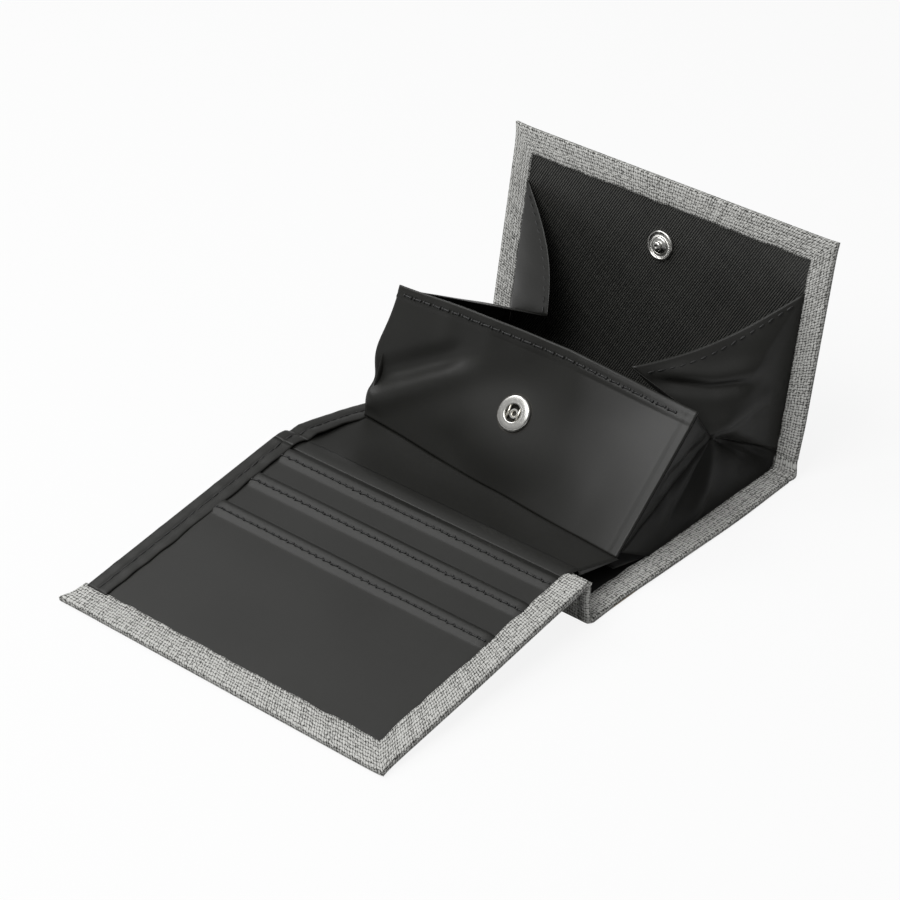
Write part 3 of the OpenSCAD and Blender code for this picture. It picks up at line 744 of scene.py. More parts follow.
for index, (label, reach, lift) in enumerate(
        zip(("back", "middle", "front"), card["pocketLengths"], card["mouthLift"])):
    mouth = reach - length

    def pocketHeight(x, y, index=index, mouth=mouth, lift=lift):
        below = mouth - y
        side = halfW - abs(x)
        free = smooth(5.2, 7.6, side)  # both sides are sewn down
        hem = smooth(card["hem"] + 0.5, card["hem"] - 0.1, below)
        pinch = bump(below, card["stitchIn"], 0.6) * 0.14
        swell = lift * smooth(5.5, 0.3, below) * smooth(6.2, 9, side)
        floor = card["wall"] + card["layer"] * (index + 1) * mix(0.5, 1, free)
        rise = hem * card["hemLift"] + swell - pinch + 0.13 * wave(x, y, index, 24)
        return floor + rise * free

    pocket = flatSheet(cardFrame, (-halfW + 1.5, halfW - 4), (-length + 1, mouth), pocketHeight,
                       0.9)
    fit(cloth(f"card_pocket_{label}_cloth", pocket, nylon, wallet["nylon"], "laid", ["card_board"],
              (100, reach)), "card_side", f"card_pocket_{label}")
    seamY = mouth - card["stitchIn"]
    row = [at(cardFrame, x, seamY, pocketHeight(x, seamY) + pocketStitch["lift"])
           for x in range(-45, 46, 2)]
    fit(stitchRow(f"pocket_{label}_stitches", row, pocketStitch, blackThread, index + 5),
        "card_side", f"pocket_{label}_thread")

row = borderRow(cardFrame, wallet["cardThick"], range(-48, 49, 2), -length + borderStitch["edgeIn"])
row += borderRow(cardFrame, wallet["cardThick"], halfW - borderStitch["edgeIn"], range(-72, -2, 2))
fit(stitchRow("card_border_stitches", row, borderStitch, greyThread, 10), "card_side",
    "card_border_thread")
print("card side made")

# Middle panel
baseThick = wallet["baseThick"]
base = {"nearIn": 0.45, "nearAt": 14, "nearWide": 12, "bow": 0.6, "bowAt": 60,
        "bowWide": 18, "start": 1.6, "end": 82.6}


def baseOutline(x, y):  # the free right edge isn't quite straight
    share = smooth(30, halfW, x)
    x -= base["nearIn"] * bump(y, base["nearAt"], base["nearWide"]) * share
    x += base["bow"] * bump(y, base["bowAt"], base["bowWide"]) * share
    return x, y


baseReach = (base["start"], base["end"])
bands = borderBand(baseFrame, [(halfW, y) for y in baseReach], baseThick, wallet["border"], 2,
                   baseOutline)
bands.append(flatSheet(baseFrame, (-halfW, halfW - 1), baseReach, skinMiddle, 2.5, baseOutline))
fit(cloth("base_canvas", joinMesh(bands), canvas, wallet["canvas"], "stretched", ["base_board"],
          (118, 81)), "middle_panel", "base_cover")
row = [at(baseFrame, *baseOutline(halfW - borderStitch["edgeIn"], y),
          baseThick + borderStitch["lift"]) for y in range(2, 83, 2)]
fit(stitchRow("base_border_stitches", row, borderStitch, greyThread, 11), "middle_panel",
    "base_border_thread")

# Spine, and the canvas that bends round both of its folds
spine = {"cardBend": 1.2, "topBend": 1.3, "footBend": 1.6}
tilt = math.radians(cardTilt)
topFold = foldPath(
    Vector((spineY - spine["cardBend"] * math.cos(tilt),
            topZ - spine["cardBend"] * math.sin(tilt))),
    Vector((-math.sin(tilt), math.cos(tilt))), Vector((spineY, topZ)),
    Vector((spineY, topZ - spine["topBend"])), Vector((1, 0)), 12)
footFold = foldPath(
    Vector((spineY, baseThick / 2 + spine["footBend"])), Vector((1, 0)),
    Vector((spineY, baseThick / 2)), Vector((spineY + base["start"], baseThick / 2)),
    Vector((0, 1)), 12)
spineFace = [(Vector((spineY, mix(topFold[-1][0].y, footFold[0][0].y, step / 8))), Vector((1, 0)))
             for step in range(9)]
foldCanvases = []
# squeeze is how much of its depth the cloth keeps in the bend, outside and inside of its middle;
# inner is how much the turned-in edge keeps of its height at the start and the end of the path
for name, path, bodies, squeeze, inner in (
        ("top_fold_canvas", topFold, ("spine", "card_side"), (0.45, 1), (1, 0.4)),
        ("foot_fold_canvas", footFold, ("middle_panel", "spine"), (1, 0.5), (0.4, 1)),
        ("spine_canvas", spineFace, None, (1, 1), (0.4, 0.4))):
    thick = wallet["spineThick"]
    parts = [foldBorder(path, thick, wallet["border"], 1, len(name), squeeze, inner),
             foldSheet(path, (-halfW, halfW - 1), skinMiddle - thick / 2, squeeze[0])]
    if bodies:
        piece = addPiece(name, joinMesh(parts), canvas, wallet["canvas"])
        start, end = (Vector((0, spot.x * mm, spot.y * mm)) for spot, _ in (path[-1], path[0]))
        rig.blend(piece, *bodies, start=start, end=end)
        foldCanvases.append(piece)
    else:
        fit(cloth(name, joinMesh(parts), canvas, wallet["canvas"], "stretched", ["spine_board"],
                  (118, 10.5), foldCanvases), "spine", "spine_cover")

# A round of canvas along the top fold, which shows when the card side is over the coin pocket
foldCap = {"radius": 0.8, "from": -100, "to": 5, "steps": 10, "half": 52.2}


def capPoint(u, v):
    turn = math.radians(mix(foldCap["from"], foldCap["to"], v))
    x = mix(-foldCap["half"], foldCap["half"], u)
    return Vector((x, spineY + foldCap["radius"] * math.cos(turn),
                   topZ + foldCap["radius"] * math.sin(turn))) * mm


fit(addPiece("top_fold_cap", sheetMesh(50, foldCap["steps"], (104.4, 1.5), capPoint), canvas, 0.12),
    "card_side")

# The inner wall: one nylon cloth over the spine and down the ramp to the flap's fold
backingEnd = at(cardFrame, 0, card["wallEnd"], card["wall"]) / mm
wall = {
    "hump": [(backingEnd.y - 0.6, backingEnd.z - 0.2), (-43, 12.68), (-42.3, 12.79),
             (-41.6, 12.82), (-40.9, 12.79), (-40.2, 12.69), (-39.4, 12.5), (-38.5, 12.24),
             (-37.5, 11.86)],
    "top": (-38.5, 12.05),
    "foldLine": [(-halfW, -15, 8.6), (-45.5, -15.3, 8.6), (-2.5, -17.3, 5.9),
                 (30, -20.5, 6.2), (45.5, -22.8, 7.3)],
    "rightEdge": 46, "sag": 1.1,
    "leftLine": [(-38.5, 12.15), (-37.4, 11.95), (-36, 12.2), (-34.5, 12.3), (-32.8, 11.95),
                 (-28, 11), (-20, 9.3), (-13, 7.6), (-7.9, 6.2), (0, 4), (8, 2.4),
                 (14, 1.75), (41, 1.7)],
    # where the wall bends: over the spine's top, and from there down the ramp
    "humpBend": {"start": (0, -0.0390, 0.0124), "end": (0, -0.0434, 0.0124)},
    "rampBend": {"start": (0, -0.024, 0.0075), "end": (0, -0.0385, 0.0121)},
}


def alongLine(points, x):  # the rest of a point (x, ...) between the line's own points
    if x <= points[0][0]:
        return points[0][1:]
    for a, b in zip(points, points[1:]):
        if x <= b[0]:
            t = smooth(a[0], b[0], x) * 0.5 + (x - a[0]) / (b[0] - a[0]) * 0.5
            return tuple(mix(low, high, t) for low, high in zip(a[1:], b[1:]))
    return points[-1][1:]


def rampPoint(x, v):
    top = wall["top"]
    fold = alongLine(wall["foldLine"], x)
    free = smooth(-halfW, -30, x) * smooth(wall["rightEdge"], 25, x)
    sag = free * (-wall["sag"] * arch(v) + 0.3 * wave(x, v * 20, 5, 18))
    sag += 0.7 * bump(x, -halfW, 7) * arch(v)
    y, z = mix(top[0], fold[0], v), mix(top[1], fold[1], v)
    return Vector((x * mm, y * mm, (z + sag) * mm))


humpX = (-halfW + 1.4, wall["rightEdge"])


def humpPoint(u, v):
    spot = v * (len(wall["hump"]) - 1)
    index = min(int(spot), len(wall["hump"]) - 2)
    (y0, z0), (y1, z1) = wall["hump"][index:index + 2]
    share = spot - index
    return Vector((mix(*humpX, u) * mm, mix(y0, y1, share) * mm, mix(z0, z1, share) * mm))


hump = addPiece("wall_hump", sheetMesh(60, 10, (99, 6), humpPoint), nylon, wallet["nylon"])
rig.blend(hump, "spine", "card_side", **wall["humpBend"])


def rampHem(u, v):  # the turned hem below the ramp's free right edge
    edge = rampPoint(wall["rightEdge"], v)
    drop = mix(1.2, 0.1, v) * u
    return edge + Vector((0.2 * u * mm, 0, -drop * mm))


rampHemPiece = addPiece("ramp_hem", sheetMesh(4, 20, (2, 17), rampHem), nylon, 0.3)
rampMesh = sheetMesh(80, 24, (99, 20), lambda u, v: rampPoint(mix(*humpX, u), v))
rampCloth = cloth("bill_ramp_cloth", rampMesh, nylon, wallet["nylon"], "hung",
                  ["spine_board", "coin_floor"], (98.5, 26), [hump, rampHemPiece])
for piece in (rampHemPiece, rampCloth):
    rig.blend(piece, "middle_panel", "spine", **wall["rampBend"])
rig.replaces(rampCloth, "bill_ramp")


# Bindings: nylon folded over the free left edge of the inner wall. A binding longer than
# "shortest" is a sheet of its own.
binding = {"lift": 0.14, "thick": 0.12, "shortest": 20}


def bindingStrip(name, line, seed):  # line holds the wall's (y, z)
    width = wallet["binding"]
    profile = [(width - 0.6, -0.3), (0.4, -0.32), (0.1, -0.16), (0.06, 0.1), (0.3, 0.32),
               (0.9, 0.4), (2.4, 0.4), (3.2, 0.3), (3.55, 0.14), (3.9, 0.3), (5, 0.4),
               (width - 0.5, 0.34), (width - 0.05, 0.2), (width - 0.1, 0)]
    arc = lineArc(line)

    def spotAt(run):
        index = 0
        while index < len(line) - 2 and arc[index + 1] < run:
            index += 1
        share = (run - arc[index]) / (arc[index + 1] - arc[index])
        a, b = Vector(line[index]), Vector(line[index + 1])
        before = Vector(line[max(index - 1, 0)])
        after = Vector(line[min(index + 2, len(line) - 1)])
        way = (b - before).normalized().lerp((after - a).normalized(), share).normalized()
        return a.lerp(b, share), Vector((-way.y, way.x))

    def shape(u, v):
        spot, up = spotAt(u * arc[-1])
        step = round(v * (len(profile) - 1))
        inward, height = profile[step]
        if step > 3:
            inward += wave(spot.x, 0, seed, 7) * 0.4 * smooth(2, width, inward)
            height += 0.1 * wave(spot.x, inward, seed + 2, 4)
        spot = spot + up * (height + binding["lift"])
        return Vector((-halfW + card["leftIn"] + inward, spot.x, spot.y)) * mm

    bm = sheetMesh(max(6, int(arc[-1] / 0.8)), len(profile) - 1, (arc[-1], 2 * width), shape)
    if arc[-1] > binding["shortest"]:
        piece = cloth(name, bm, nylon, binding["thick"], "folded", ["card_backing_cloth"],
                      (arc[-1] + 1, 16.5))
    else:
        piece = addPiece(name, bm, nylon, binding["thick"])
    row = []
    for step in range(int(arc[-1] / bindingStitch["step"])):
        spot, up = spotAt((step + 0.5) * bindingStitch["step"])
        spot = spot + up * (binding["lift"] + bindingStitch["lift"])
        seamX = -halfW + card["leftIn"] + bindingStitch["edgeIn"]
        row.append(Vector((seamX, spot.x, spot.y)) * mm)
    return piece, stitchRow(f"{name}_stitches", row, bindingStitch, blackThread, seed)


def cardSpot(y, z):
    spot = at(cardFrame, 0, y, z) / mm
    return spot.y, spot.z


cardLine = [cardSpot(y, card["wall"] + 0.45)
            for y in (-length + 6.2, -60, -45, -30, -15, card["wallEnd"])]
humpLine = [cardLine[-1]] + [(y, z + 0.42) for y, z in wall["hump"][1:-2]] + [wall["leftLine"][0]]
for piece, node in zip(bindingStrip("card_binding_cloth", cardLine, 3),
                       ("card_binding", "card_binding_thread")):
    fit(piece, "card_side", node)
for piece in bindingStrip("hump_binding", humpLine, 4):
    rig.blend(piece, "spine", "card_side", **wall["humpBend"])
for piece, node in zip(bindingStrip("ramp_binding", wall["leftLine"], 5),
                       ("base_binding", "base_binding_thread")):
    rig.blend(piece, "middle_panel", "spine", **wall["rampBend"])
    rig.replaces(piece, node)

refinish(liningCloth, "bill_floor", "coin_floor", "base_lining", "card_lining", "spine_lining")
refinish(board, "base_board", "card_board", "spine_board", "lid_board")
print("middle panel and spine made")

# Lid
lid = {"border": 6.4, "lining": 1.36, "liningThick": 0.2, "start": 0.7, "pull": 3, "bulge": 0.7,
       "stitchIn": 3.1, "topStitchIn": 3.3, "ears": [(-1, 0.9, 0.4, 2), (1, 0.4, 0.3, 1.6)],
       "topOut": 0.5, "rightOut": 0.35}
lidLength, lidThick = wallet["lidLength"], wallet["lidThick"]


def lidOutline(x, y):
    x, y = pullEars(lid["ears"], x, y, lidLength)
    x += lid["rightOut"] * smooth(halfW - 8, halfW, x) * smooth(0, 12, y)
    y += lid["topOut"] * smooth(lidLength - 8, lidLength, y)
    return x, y


lidCorners = [(halfW, lid["start"]), (halfW, lidLength), (-halfW, lidLength),
              (-halfW, lid["start"])]
bands = borderBand(lidFrame, lidCorners, lidThick, lid["border"], 3, lidOutline)
bands.append(flatSheet(lidFrame, (-halfW + 1, halfW - 1), (lid["start"], lidLength - 1),
                       skinMiddle, 2.5, lidOutline))
fit(cloth("lid_canvas", joinMesh(bands), canvas, wallet["canvas"], "stretched", ["lid_board"],
          (124, 76)), "lid", "lid_cover")


def liningHeight(x, y):
    return lid["lining"] + 0.06 * wave(x, y, 9, 16) * smooth(1, 5, y)


liningMesh = flatSheet(lidFrame, (-halfW + 3, halfW - 3), (lid["start"], lidLength - 3),
                       liningHeight)
fit(cloth("lid_lining_cloth", liningMesh, ribbed, lid["liningThick"], "laid", ["lid_board"],
          (99.2, 57.3)), "lid", "lid_lining")
seamX = halfW - lid["stitchIn"]
row = borderRow(lidFrame, lidThick, seamX, range(2, 58, 2))
row += borderRow(lidFrame, lidThick, range(48, -49, -2), lidLength - lid["topStitchIn"])
row += borderRow(lidFrame, lidThick, -seamX, range(57, 1, -2))
fit(stitchRow("lid_border_stitches", row, borderStitch, greyThread, 12), "lid",
    "lid_border_thread")

# The lid's fold: canvas, its turned-in edges and the lining bend from the middle panel
lidTurn = math.radians(wallet["lidAngle"])
lidInward = Vector((-math.sin(lidTurn), math.cos(lidTurn)))
lidFoot = Vector((foldPoint["coin_lid_fold"].y, foldPoint["coin_lid_fold"].z)) / mm
lidAxis = Vector((math.cos(lidTurn), math.sin(lidTurn)))
baseEnd = Vector((spineY + base["end"], baseThick / 2))
crossing = lidFoot - lidAxis * ((lidFoot.y - baseThick / 2) / lidAxis.y)
lidFold = foldPath(baseEnd, Vector((0, 1)), crossing, lidFoot + lidAxis * lid["start"],
                   lidInward, 16, lid["pull"])
parts = [foldBorder(lidFold, lidThick, wallet["border"], side, 7, (1, 0.8), bulge=lid["bulge"])
         for side in (1, -1)]
parts.append(foldSheet(lidFold, (-halfW + 1, halfW - 1), skinMiddle - lidThick / 2, 1))
lidFoldCanvas = addPiece("lid_fold_canvas", joinMesh(parts), canvas, wallet["canvas"])
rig.replaces(lidFoldCanvas, "lid_fold_strip")
liningPath = foldPath(Vector((36, 1.75)), Vector((0, 1)), crossing + Vector((-0.6, 0.6)),
                      lidFoot + lidAxis * lid["start"] + lidInward * (lid["lining"] - lidMid),
                      lidInward, 14)
liningX = halfW - 6.6
lidFoldLining = addPiece("lid_fold_lining", foldSheet(liningPath, (-liningX, liningX), 0, 1),
                         ribbed, lid["liningThick"])
for piece in (lidFoldCanvas, lidFoldLining):
    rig.blend(piece, "middle_panel", "lid", start=(0, 0.0405, 0.0012), end=(0, 0.0443, 0.0056))
print("lid made")

# Coin flap: twisted cloth between its fold and its hem, flat where the socket sits
flap = {
    "half": 45.5, "rise": 43, "thick": 0.5, "flatRadius": (5.4, 24), "hemBand": 3.6,
    "stitchIn": 2.6, "seamBand": 2.7,
    "foldLine": [(-45.5, -15.3, 8.8), (-2.5, -17.3, 5.9), (30, -20.5, 6.2), (45.5, -22.8, 7.3)],
    "hemLine": [(-45.5, -0.1, 41.9), (-20, 0.4, 43.2), (-2.5, 1, 43.3), (10, 2.6, 42.2),
                (45.5, 9.9, 34.2)],
    # each crease: its line, height and width, and the shares of the line where it fades in and out
    "creases": [
        ([(-47, 4.5), (-39, 10.5), (-30, 17.5), (-18, 26.5), (-4, 37.5)], 1.5, 4, (-0.1, 0.1),
         (1.05, 0.6)),
        ([(-47, 9.5), (-40, 17), (-32, 23.5), (-23, 29.5), (-12, 36)], -2.7, 4.4, (-0.1, 0.12),
         (1.05, 0.6)),
        ([(-24, 6), (-15, 15), (-9, 26), (-4, 37)], 0.7, 4.5, (0, 0.4), (3, 2))],
    "puckers": (-27, -13, 1, 15),
}
socketAt = at(flapFrame, 0, wallet["socketFromFold"], 0)
flapNormal = facing(flapFrame)


def lineDistance(points, x, y):  # how far a point is from a line, and the share along it
    best, spot = (1e9, 0), Vector((x, y))
    for index, (a, b) in enumerate(zip(points, points[1:])):
        a, b = Vector(a), Vector(b)
        share = min(1, max(0, (spot - a).dot(b - a) / (b - a).length_squared))
        far = (spot - a.lerp(b, share)).length
        if far < best[0]:
            best = (far, (index + share) / (len(points) - 1))
    return best


def flapPoint(u, v):
    x, across = mix(-flap["half"], flap["half"], u), v * flap["rise"]
    fold, hem = alongLine(flap["foldLine"], x), alongLine(flap["hemLine"], x)
    y, z = mix(fold[0], hem[0], v), mix(fold[1], hem[1], v)
    lift = 0
    for line, height, width, begin, end in flap["creases"]:
        far, share = lineDistance(line, x, across)
        lift += height * bump(far, 0, width) * smooth(*begin, share) * smooth(*end, share)
    for centre in flap["puckers"]:
        lift += 0.35 * bump(x, centre, 3.4) * smooth(22, 39, across)
    lift += 0.12 * arch(v) * wave(x, across, 3, 15)
    lift *= smooth(0, 4, across)
    hemStart = flap["rise"] - flap["hemBand"]
    lift += 0.3 * smooth(hemStart - 0.5, hemStart, across)
    lift -= 0.18 * bump(across, flap["rise"] - flap["stitchIn"], 0.5)
    inside = flap["half"] - x
    lift += 0.12 * smooth(flap["seamBand"] + 0.4, flap["seamBand"] - 0.4, inside)
    lift -= 0.08 * bump(inside, flap["seamBand"] + 0.5, 0.4)
    x -= 2.4 * bump(x, -flap["half"], 9) * bump(v, 0.44, 0.27)
    point = Vector((x, y, z)) + Vector((0, flapNormal.y, flapNormal.z)) * lift
    off = (point * mm - socketAt).dot(flapNormal)
    near = math.hypot(x, across - wallet["socketFromFold"] + 1)
    hold = smooth(flap["flatRadius"][1], flap["flatRadius"][0], near)
    return point * mm - flapNormal * off * hold


flapBm = sheetMesh(150, 72, (91, 43), flapPoint)
mouth = [face for face in flapBm.faces if (face.calc_center_median() - socketAt).length < 2.5 * mm]
bmesh.ops.delete(flapBm, geom=mouth, context="FACES")  # the hole that the socket's mouth fills
flapCloth = fit(cloth("coin_flap_cloth", flapBm, nylon, flap["thick"], "stretched", ["coin_floor"],
                      (92.5, 46)), "coin_flap", "coin_flap_front", "coin_flap_back",
                "coin_flap_hem")
stitchShare = 1 - flap["stitchIn"] / flap["rise"]
row = [flapPoint(u / 90, stitchShare) + flapNormal * hemStitch["lift"] * mm
       for u in range(2, 88)]
flapSeam = fit(stitchRow("coin_flap_stitches", row, hemStitch, blackThread, 13), "coin_flap",
               "coin_flap_thread")
for piece in (flapCloth, flapSeam):
    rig.squash(piece, "coin_flap_fold", axis=flapNormal, anchor=socketAt, keep=0.08)
print("coin flap made")

# Gussets: each is one folded cloth whose facets fan out from a creased point
gusset = {
    "thick": 0.2, "hemIn": 2.8, "edgeIn": 46.3, "rings": 30,
    "right": {"side": 1, "tip": (21, 13.2, 36.5), "star": (40.5, 21.8, 18.9), "lidTop": 46,
              "hemSag": (0, -1.5, -3), "lidRidge": 22, "lidCrown": 0.6, "wrinkles": [
                  ([(16, 32.5), (26.5, 30), (36.5, 30.2)], -1.9, 1.5),
                  ([(19, 35), (28, 33.2), (38, 34.5)], 0.9, 2),
                  ([(22.5, 19.2), (34.8, 23.6), (44, 25)], 1.5, 3.2),
                  ([(22.5, 18.5), (33.1, 12), (42, 3.6)], -1.5, 1.8),
                  ([(20.5, 18), (14, 9), (6, 2.5)], 1, 2.6),
                  ([(20.5, 19.5), (8, 20), (-4, 19)], -1.2, 2.2)]},
    "left": {"side": -1, "tip": (-20.6, 30.3, 28), "star": (-39, 37.1, 20.4), "lidTop": 47.2,
             "hemSag": (4.6, -1.2, 0.9), "lidRidge": 30, "lidCrown": 0.1, "wrinkles": [
                 ([(40, 22), (46, 28), (50, 38)], -0.5, 3)]},
}


def gussetOutline(look):
    side, tip, star = look["side"], Vector(look["tip"]), Vector(look["star"])
    edge = side * gusset["edgeIn"]
    lidLow, lidRidge, lidTop = (at(lidFrame, edge, reach, lidThick - 0.3) / mm
                                for reach in (1.5, look["lidRidge"], look["lidTop"]))
    u = 1 if side > 0 else 0
    flapTop = flapPoint(u, 0.97) / mm + Vector((0, 0.5, -0.3))
    flapLow = flapPoint(u, 0.03) / mm + Vector((0, 0.7, 0))
    floorNear, floorFar = Vector((edge, -10.5, 1.6)), Vector((edge, 40.5, 1.6))
    bend, none = Vector(look["hemSag"]), Vector((0, 0, 0))
    # each side: its start and end, how it bends, its steps, and how far its facet swells
    return star, [(lidTop, tip, bend, 34, 0.9), (tip, flapTop, none, 20, 0.5),
                  (flapTop, flapLow, none, 20, 0.6), (flapLow, floorNear, none, 10, 0.4),
                  (floorNear, floorFar, none, 24, 1.2), (floorFar, lidLow, none, 5, 0.2),
                  (lidLow, lidRidge, none, 16, look["lidCrown"]),
                  (lidRidge, lidTop, none, 14, look["lidCrown"])]


def gussetMesh(look, first, last):  # the facets from one side of the outline to another
    star, sides = gussetOutline(look)
    total = sum(side[3] for side in sides)
    begin = sum(side[3] for side in sides[:first % len(sides)])
    count = sum(sides[index % len(sides)][3] for index in range(first, last))
    side = look["side"]

    def edgeSpot(step):
        for a, b, bend, steps, crown in sides:
            if step <= steps:
                share = step / steps
                swell = arch(share)
                return a.lerp(b, share) + bend * swell, crown * swell, (b - a).cross(star - a)
            step -= steps
        return sides[0][0], 0, Vector((1, 0, 0))

    def shape(u, v):
        spot, crown, across = edgeSpot((begin + round(u * count)) % total)
        r = v ** 0.85
        point = star.lerp(spot, r)
        across = across.normalized() * (-side if across.x > 0 else side)
        point += across * -crown * arch(r) * 0.9
        ripple = 0.35 * wave(point.y, point.z, side * 3, 7) * arch(r)
        point += Vector((-side * ripple, 0, 0))
        for line, depth, width in look["wrinkles"]:
            far, share = lineDistance(line, point.y, point.z)
            fade = smooth(0, 0.2, share) * smooth(1, 0.75, share)
            point.x += side * depth * bump(far, 0, width) * mix(0.35, 1, fade) * smooth(1, 0.86, r)
        return point * mm

    bm = sheetMesh(count, gusset["rings"], (60, 60), shape)
    layer = bm.loops.layers.uv.active
    for face in bm.faces:
        for loop in face.loops:
            loop[layer].uv = (loop.vert.co.y, loop.vert.co.z)
    bmesh.ops.remove_doubles(bm, verts=bm.verts[:], dist=0.01 * mm)
    bmesh.ops.recalc_face_normals(bm, faces=bm.faces[:])
    return bm


def gussetHem(look):
    star, sides = gussetOutline(look)
    a, b, bend, count, _ = sides[0]
    row = []
    for step in range(1, count):
        share = step / count
        spot = a.lerp(b, share) + bend * arch(share)
        inner = (star - spot).normalized()
        row.append((spot + inner * gusset["hemIn"] + Vector((0.3, -0.34, 0.29))) * mm)
    return row


gussetPanels = (  # part, body, its sides of the outline, squash axis, anchor and rest, flat size
    ("lid", "lid", (-2, 1), facing(lidFrame), at(lidFrame, 0, 20, lidThick + 0.2), 0.015, (47, 36)),
    ("flap", "coin_flap", (1, 3), flapNormal, at(flapFrame, 0, 20, -0.5), 0.015, (44, 34)),
    ("floor", "middle_panel", (3, 6), Vector((0, 0, 1)), Vector((0, 0, 0.0021)), 0.02, (66, 26)))
for label in ("right", "left"):
    for part, body, sides, axis, anchor, keep, flat in gussetPanels:
        shaded = label == "right" and part != "lid"  # in the shade of the lid
        pieces = [cloth(f"gusset_{label}_{part}_cloth", gussetMesh(gusset[label], *sides),
                        shadedNylon if shaded else nylon, gusset["thick"], "folded",
                        ["lid_board", "coin_floor"], flat)]
        if part == "lid":
            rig.replaces(pieces[0], f"gusset_{label}")
            pieces.append(stitchRow(f"gusset_{label}_stitches", gussetHem(gusset[label]),
                                    gussetStitch, blackThread, 21))
        for piece in pieces:
            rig.ride(piece, body)
            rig.squash(piece, "coin_lid_fold", axis=axis, anchor=anchor, keep=keep)
print("gussets made")


# Press stud
def spinMesh(profile, panel, centre, steps, ripple=None):  # profile holds (radius, height)
    bm = bmesh.new()
    spots = [bm.verts.new((radius, 0, height)) for radius, height in profile]
    for a, b in zip(spots, spots[1:]):
        bm.edges.new((a, b))
    bmesh.ops.spin(bm, geom=bm.verts[:] + bm.edges[:], cent=(0, 0, 0), axis=(0, 0, 1),
                   angle=2 * math.pi, steps=steps, use_merge=True)
    bmesh.ops.remove_doubles(bm, verts=bm.verts[:], dist=0.002)
    bmesh.ops.recalc_face_normals(bm, faces=bm.faces[:])
    for vert in bm.verts:
        x, y, z = vert.co
        if ripple:
            z += ripple(math.hypot(x, y), math.atan2(y, x))
        vert.co = at(panel, centre[0] + x, centre[1] + y, z)
    return bm


stud = {
    "foot": 1.43, "knurls": 60, "knurlDepth": 0.05,
    "profile": [(0, 2.15), (0.3, 2.2), (0.45, 2.36), (0.85, 2.32), (1.2, 2.1), (1.3, 1.8),
                (1.2, 1.5), (1.1, 1.25), (1.3, 1.1), (1.9, 0.98), (2.25, 0.85), (2.3, 0.55),
                (2.45, 0.34), (2.8, 0.25), (3.15, 0.25), (3.3, 0.32), (3.42, 0.6), (3.62, 0.82),
                (3.86, 0.78), (4.06, 0.5), (4.1, 0.02), (3.6, -0.02), (0, -0.02)],
}


def knurl(radius, angle):
    if not 2.4 < radius < 3.25:
        return 0
    return stud["knurlDepth"] * math.cos(stud["knurls"] * angle)


studProfile = [(radius, stud["foot"] + height) for radius, height in stud["profile"]]
fit(addPiece("stud_dish", spinMesh(studProfile, lidFrame, (0, wallet["studFromFold"]), 240, knurl),
             nickel), "lid", "stud")
socket = {
    "wireOut": 1.6, "wire": 0.34, "wireLength": 4.3, "wireHeight": 0.72,
    "ring": [(2.35, -0.2), (2.35, 0.95), (2.45, 1.18), (2.7, 1.27), (2.95, 1.2), (3.2, 1.22),
             (4.25, 1.16), (4.6, 1.05), (4.85, 0.8), (4.95, 0.5), (4.9, 0.24), (4.5, 0.2),
             (2.6, 0.2), (2.6, -0.2), (2.35, -0.2)],
    "chamber": [(0, -0.25), (2.33, -0.25), (2.33, 0.85), (2.28, 0.85), (2.28, -0.15), (0, -0.15)],
    "tube": [(0.55, -0.15), (0.95, -0.15), (0.98, 0.35), (0.85, 0.5), (0.68, 0.42),
             (0.55, -0.15)],
    # the last ring is near-black metal painted as the shadow round the socket's rim
    "seat": [(4.5, 0.2), (5.2, 0.26), (5.3, 0.3), (5.35, 0.2), (4.5, 0.15), (4.5, 0.2)],
}


def addSocketRound(part, steps, finish, *nodes):
    bm = spinMesh(socket[part], flapFrame, (0, wallet["socketFromFold"]), steps)
    fit(addPiece(f"socket_{part}", bm, finish), "coin_flap", *nodes)


addSocketRound("ring", 96, nickel, "socket")
# the chamber's near-black metal is painted shade inside the socket's mouth
addSocketRound("chamber", 48, paintedShadeMetal)
addSocketRound("tube", 48, (springWire[0], "nickel"))
wireParts = []
for side in (-1, 1):
    bm = bmesh.new()
    bmesh.ops.create_cone(bm, cap_ends=True, segments=16, radius1=socket["wire"],
                          radius2=socket["wire"], depth=socket["wireLength"])
    bmesh.ops.rotate(bm, verts=bm.verts[:], cent=(0, 0, 0),
                     matrix=Matrix.Rotation(math.pi / 2, 3, "X"))
    for vert in bm.verts:
        x, y, z = vert.co
        vert.co = at(flapFrame, x + side * socket["wireOut"], y + wallet["socketFromFold"],
                     z + socket["wireHeight"])
    wireParts.append(bm)
fit(addPiece("socket_wires", joinMesh(wireParts), springWire), "coin_flap", "socket_spring")
# a thin near-black ring: painted shadow round the socket's rim
addSocketRound("seat", 64, paintedShadeMetal)
refinish(nickel[0], "stud_rivet", "socket_cap")
print("press stud made")


# Stage, lights and camera. The floor shows itself nearly white, and lights the wallet as pale grey.
stage = {"floor": (0.6, 0.6, 0.6), "floorRough": 0.9, "floorSeen": 0.88, "floorMirrored": 0.3,
         "skyRise": 0.46, "skyLevel": 0.16, "skyLeft": -0.15, "skyLeast": 0.03}


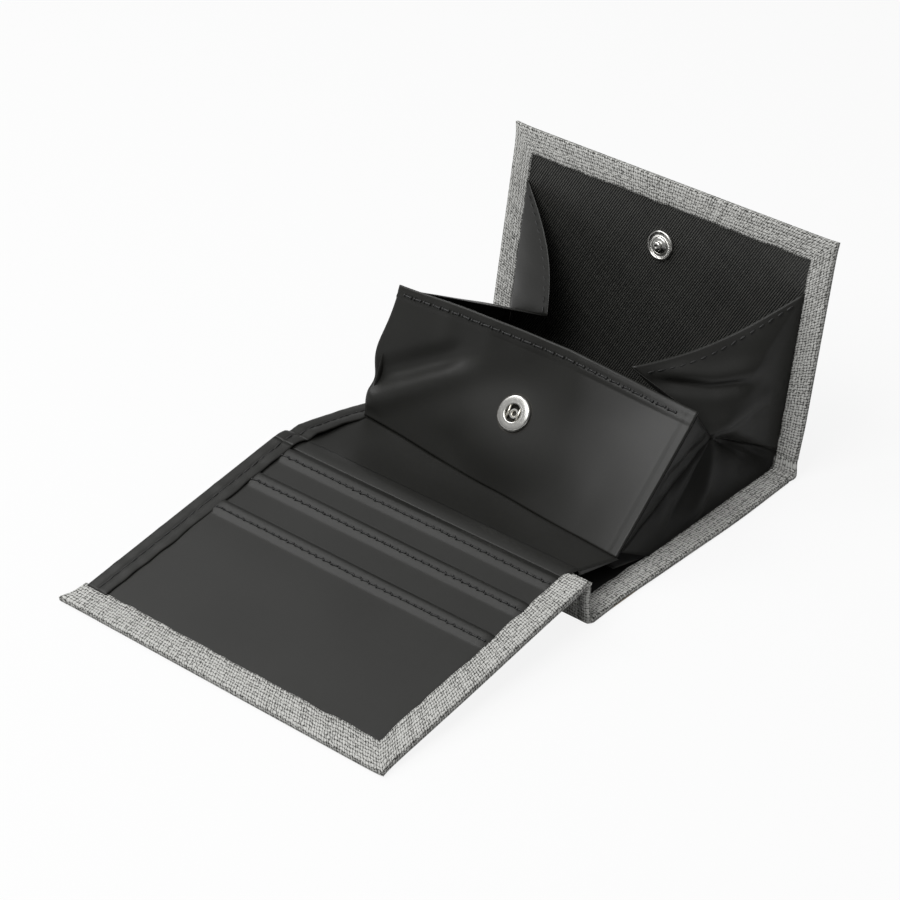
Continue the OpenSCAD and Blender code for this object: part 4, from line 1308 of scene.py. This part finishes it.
def stageMaterial(name, colour):
    material, tree, shader = newMaterial(name)
    shader.inputs["Base Color"].default_value = (*colour, 1)
    shader.inputs["Roughness"].default_value = stage["floorRough"]
    glow = wire(tree, "ShaderNodeEmission")
    glow.inputs["Color"].default_value = (1, 1, 1, 1)
    rays = wire(tree, "ShaderNodeLightPath").outputs
    mirrored = calc(tree, "MULTIPLY", rays["Is Glossy Ray"], stage["floorMirrored"])
    seen = calc(tree, "MAXIMUM", rays["Is Camera Ray"],
                calc(tree, "MAXIMUM", mirrored, rays["Is Transmission Ray"]))
    blend = wire(tree, "ShaderNodeMixShader")
    tree.links.new(calc(tree, "MULTIPLY", seen, stage["floorSeen"]), blend.inputs["Fac"])
    tree.links.new(shader.outputs[0], blend.inputs[1])
    tree.links.new(glow.outputs[0], blend.inputs[2])
    tree.links.new(blend.outputs[0], tree.nodes["Material Output"].inputs["Surface"])
    return material


floorBm = bmesh.new()
bmesh.ops.create_grid(floorBm, x_segments=1, y_segments=1, size=3)
floor = addObject("floor", meshOf("floor", floorBm))
floor.data.materials.append(stageMaterial("paleFloor", stage["floor"]))
floor.location.z = -0.0001
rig.stage(floor)

world = bpy.data.worlds.new("studio")
bpy.context.scene.world = world
world.use_nodes = True
sky = world.node_tree
background = sky.nodes["Background"].inputs
background["Color"].default_value = (1, 1, 1, 1)
skyWay = wire(sky, "ShaderNodeSeparateXYZ")  # brighter above and from the left
sky.links.new(wire(sky, "ShaderNodeTexCoord").outputs["Generated"], skyWay.inputs[0])
skyLight = calc(sky, "MULTIPLY_ADD", skyWay.outputs["Z"], stage["skyRise"], stage["skyLevel"])
skyLight = calc(sky, "MULTIPLY_ADD", skyWay.outputs["X"], stage["skyLeft"], skyLight)
sky.links.new(calc(sky, "MAXIMUM", skyLight, stage["skyLeast"]), background["Strength"])


def addLamp(name, spot, power, size, target=Vector((0, 0, 0.02))):
    data = bpy.data.lights.new(name, "AREA")
    data.energy, data.size = power, size
    lamp = addObject(name, data)
    lamp.location = spot
    lamp.rotation_euler = (target - Vector(spot)).to_track_quat("-Z", "Y").to_euler()


addLamp("keyLamp", (-0.02, -0.42, 0.72), 5.2, 0.5)
addLamp("leftLamp", (-0.5, -0.1, 0.62), 2.4, 0.4)

view = {"azimuth": 41.42, "elevation": 32.94, "roll": -0.81, "distance": 788.9,
        "target": (-5.59, -26.72, 20), "focalPixels": 3100, "framePixels": 900, "sensor": 36}
azimuth, elevation = math.radians(view["azimuth"]), math.radians(view["elevation"])
back = Vector((math.sin(azimuth) * math.cos(elevation), -math.cos(azimuth) * math.cos(elevation),
               math.sin(elevation)))
cameraData = bpy.data.cameras.new("camera")
cameraData.sensor_width = view["sensor"]
cameraData.lens = view["sensor"] * view["focalPixels"] / view["framePixels"]
cameraData.clip_start = 0.01
camera = addObject("camera", cameraData)
camera.location = (Vector(view["target"]) + back * view["distance"]) * mm
camera.rotation_euler = ((-back).to_track_quat("-Z", "Y").to_matrix()
                         @ Matrix.Rotation(math.radians(view["roll"]), 3, "Z")).to_euler()
bpy.context.scene.camera = camera
bpy.context.scene.view_settings.view_transform = "Standard"
print("stage set")

with open("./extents.json", "w") as sizeFile:
    json.dump({"cad": cadBox, "visual": [list(corner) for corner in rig.bounds()]}, sizeFile)
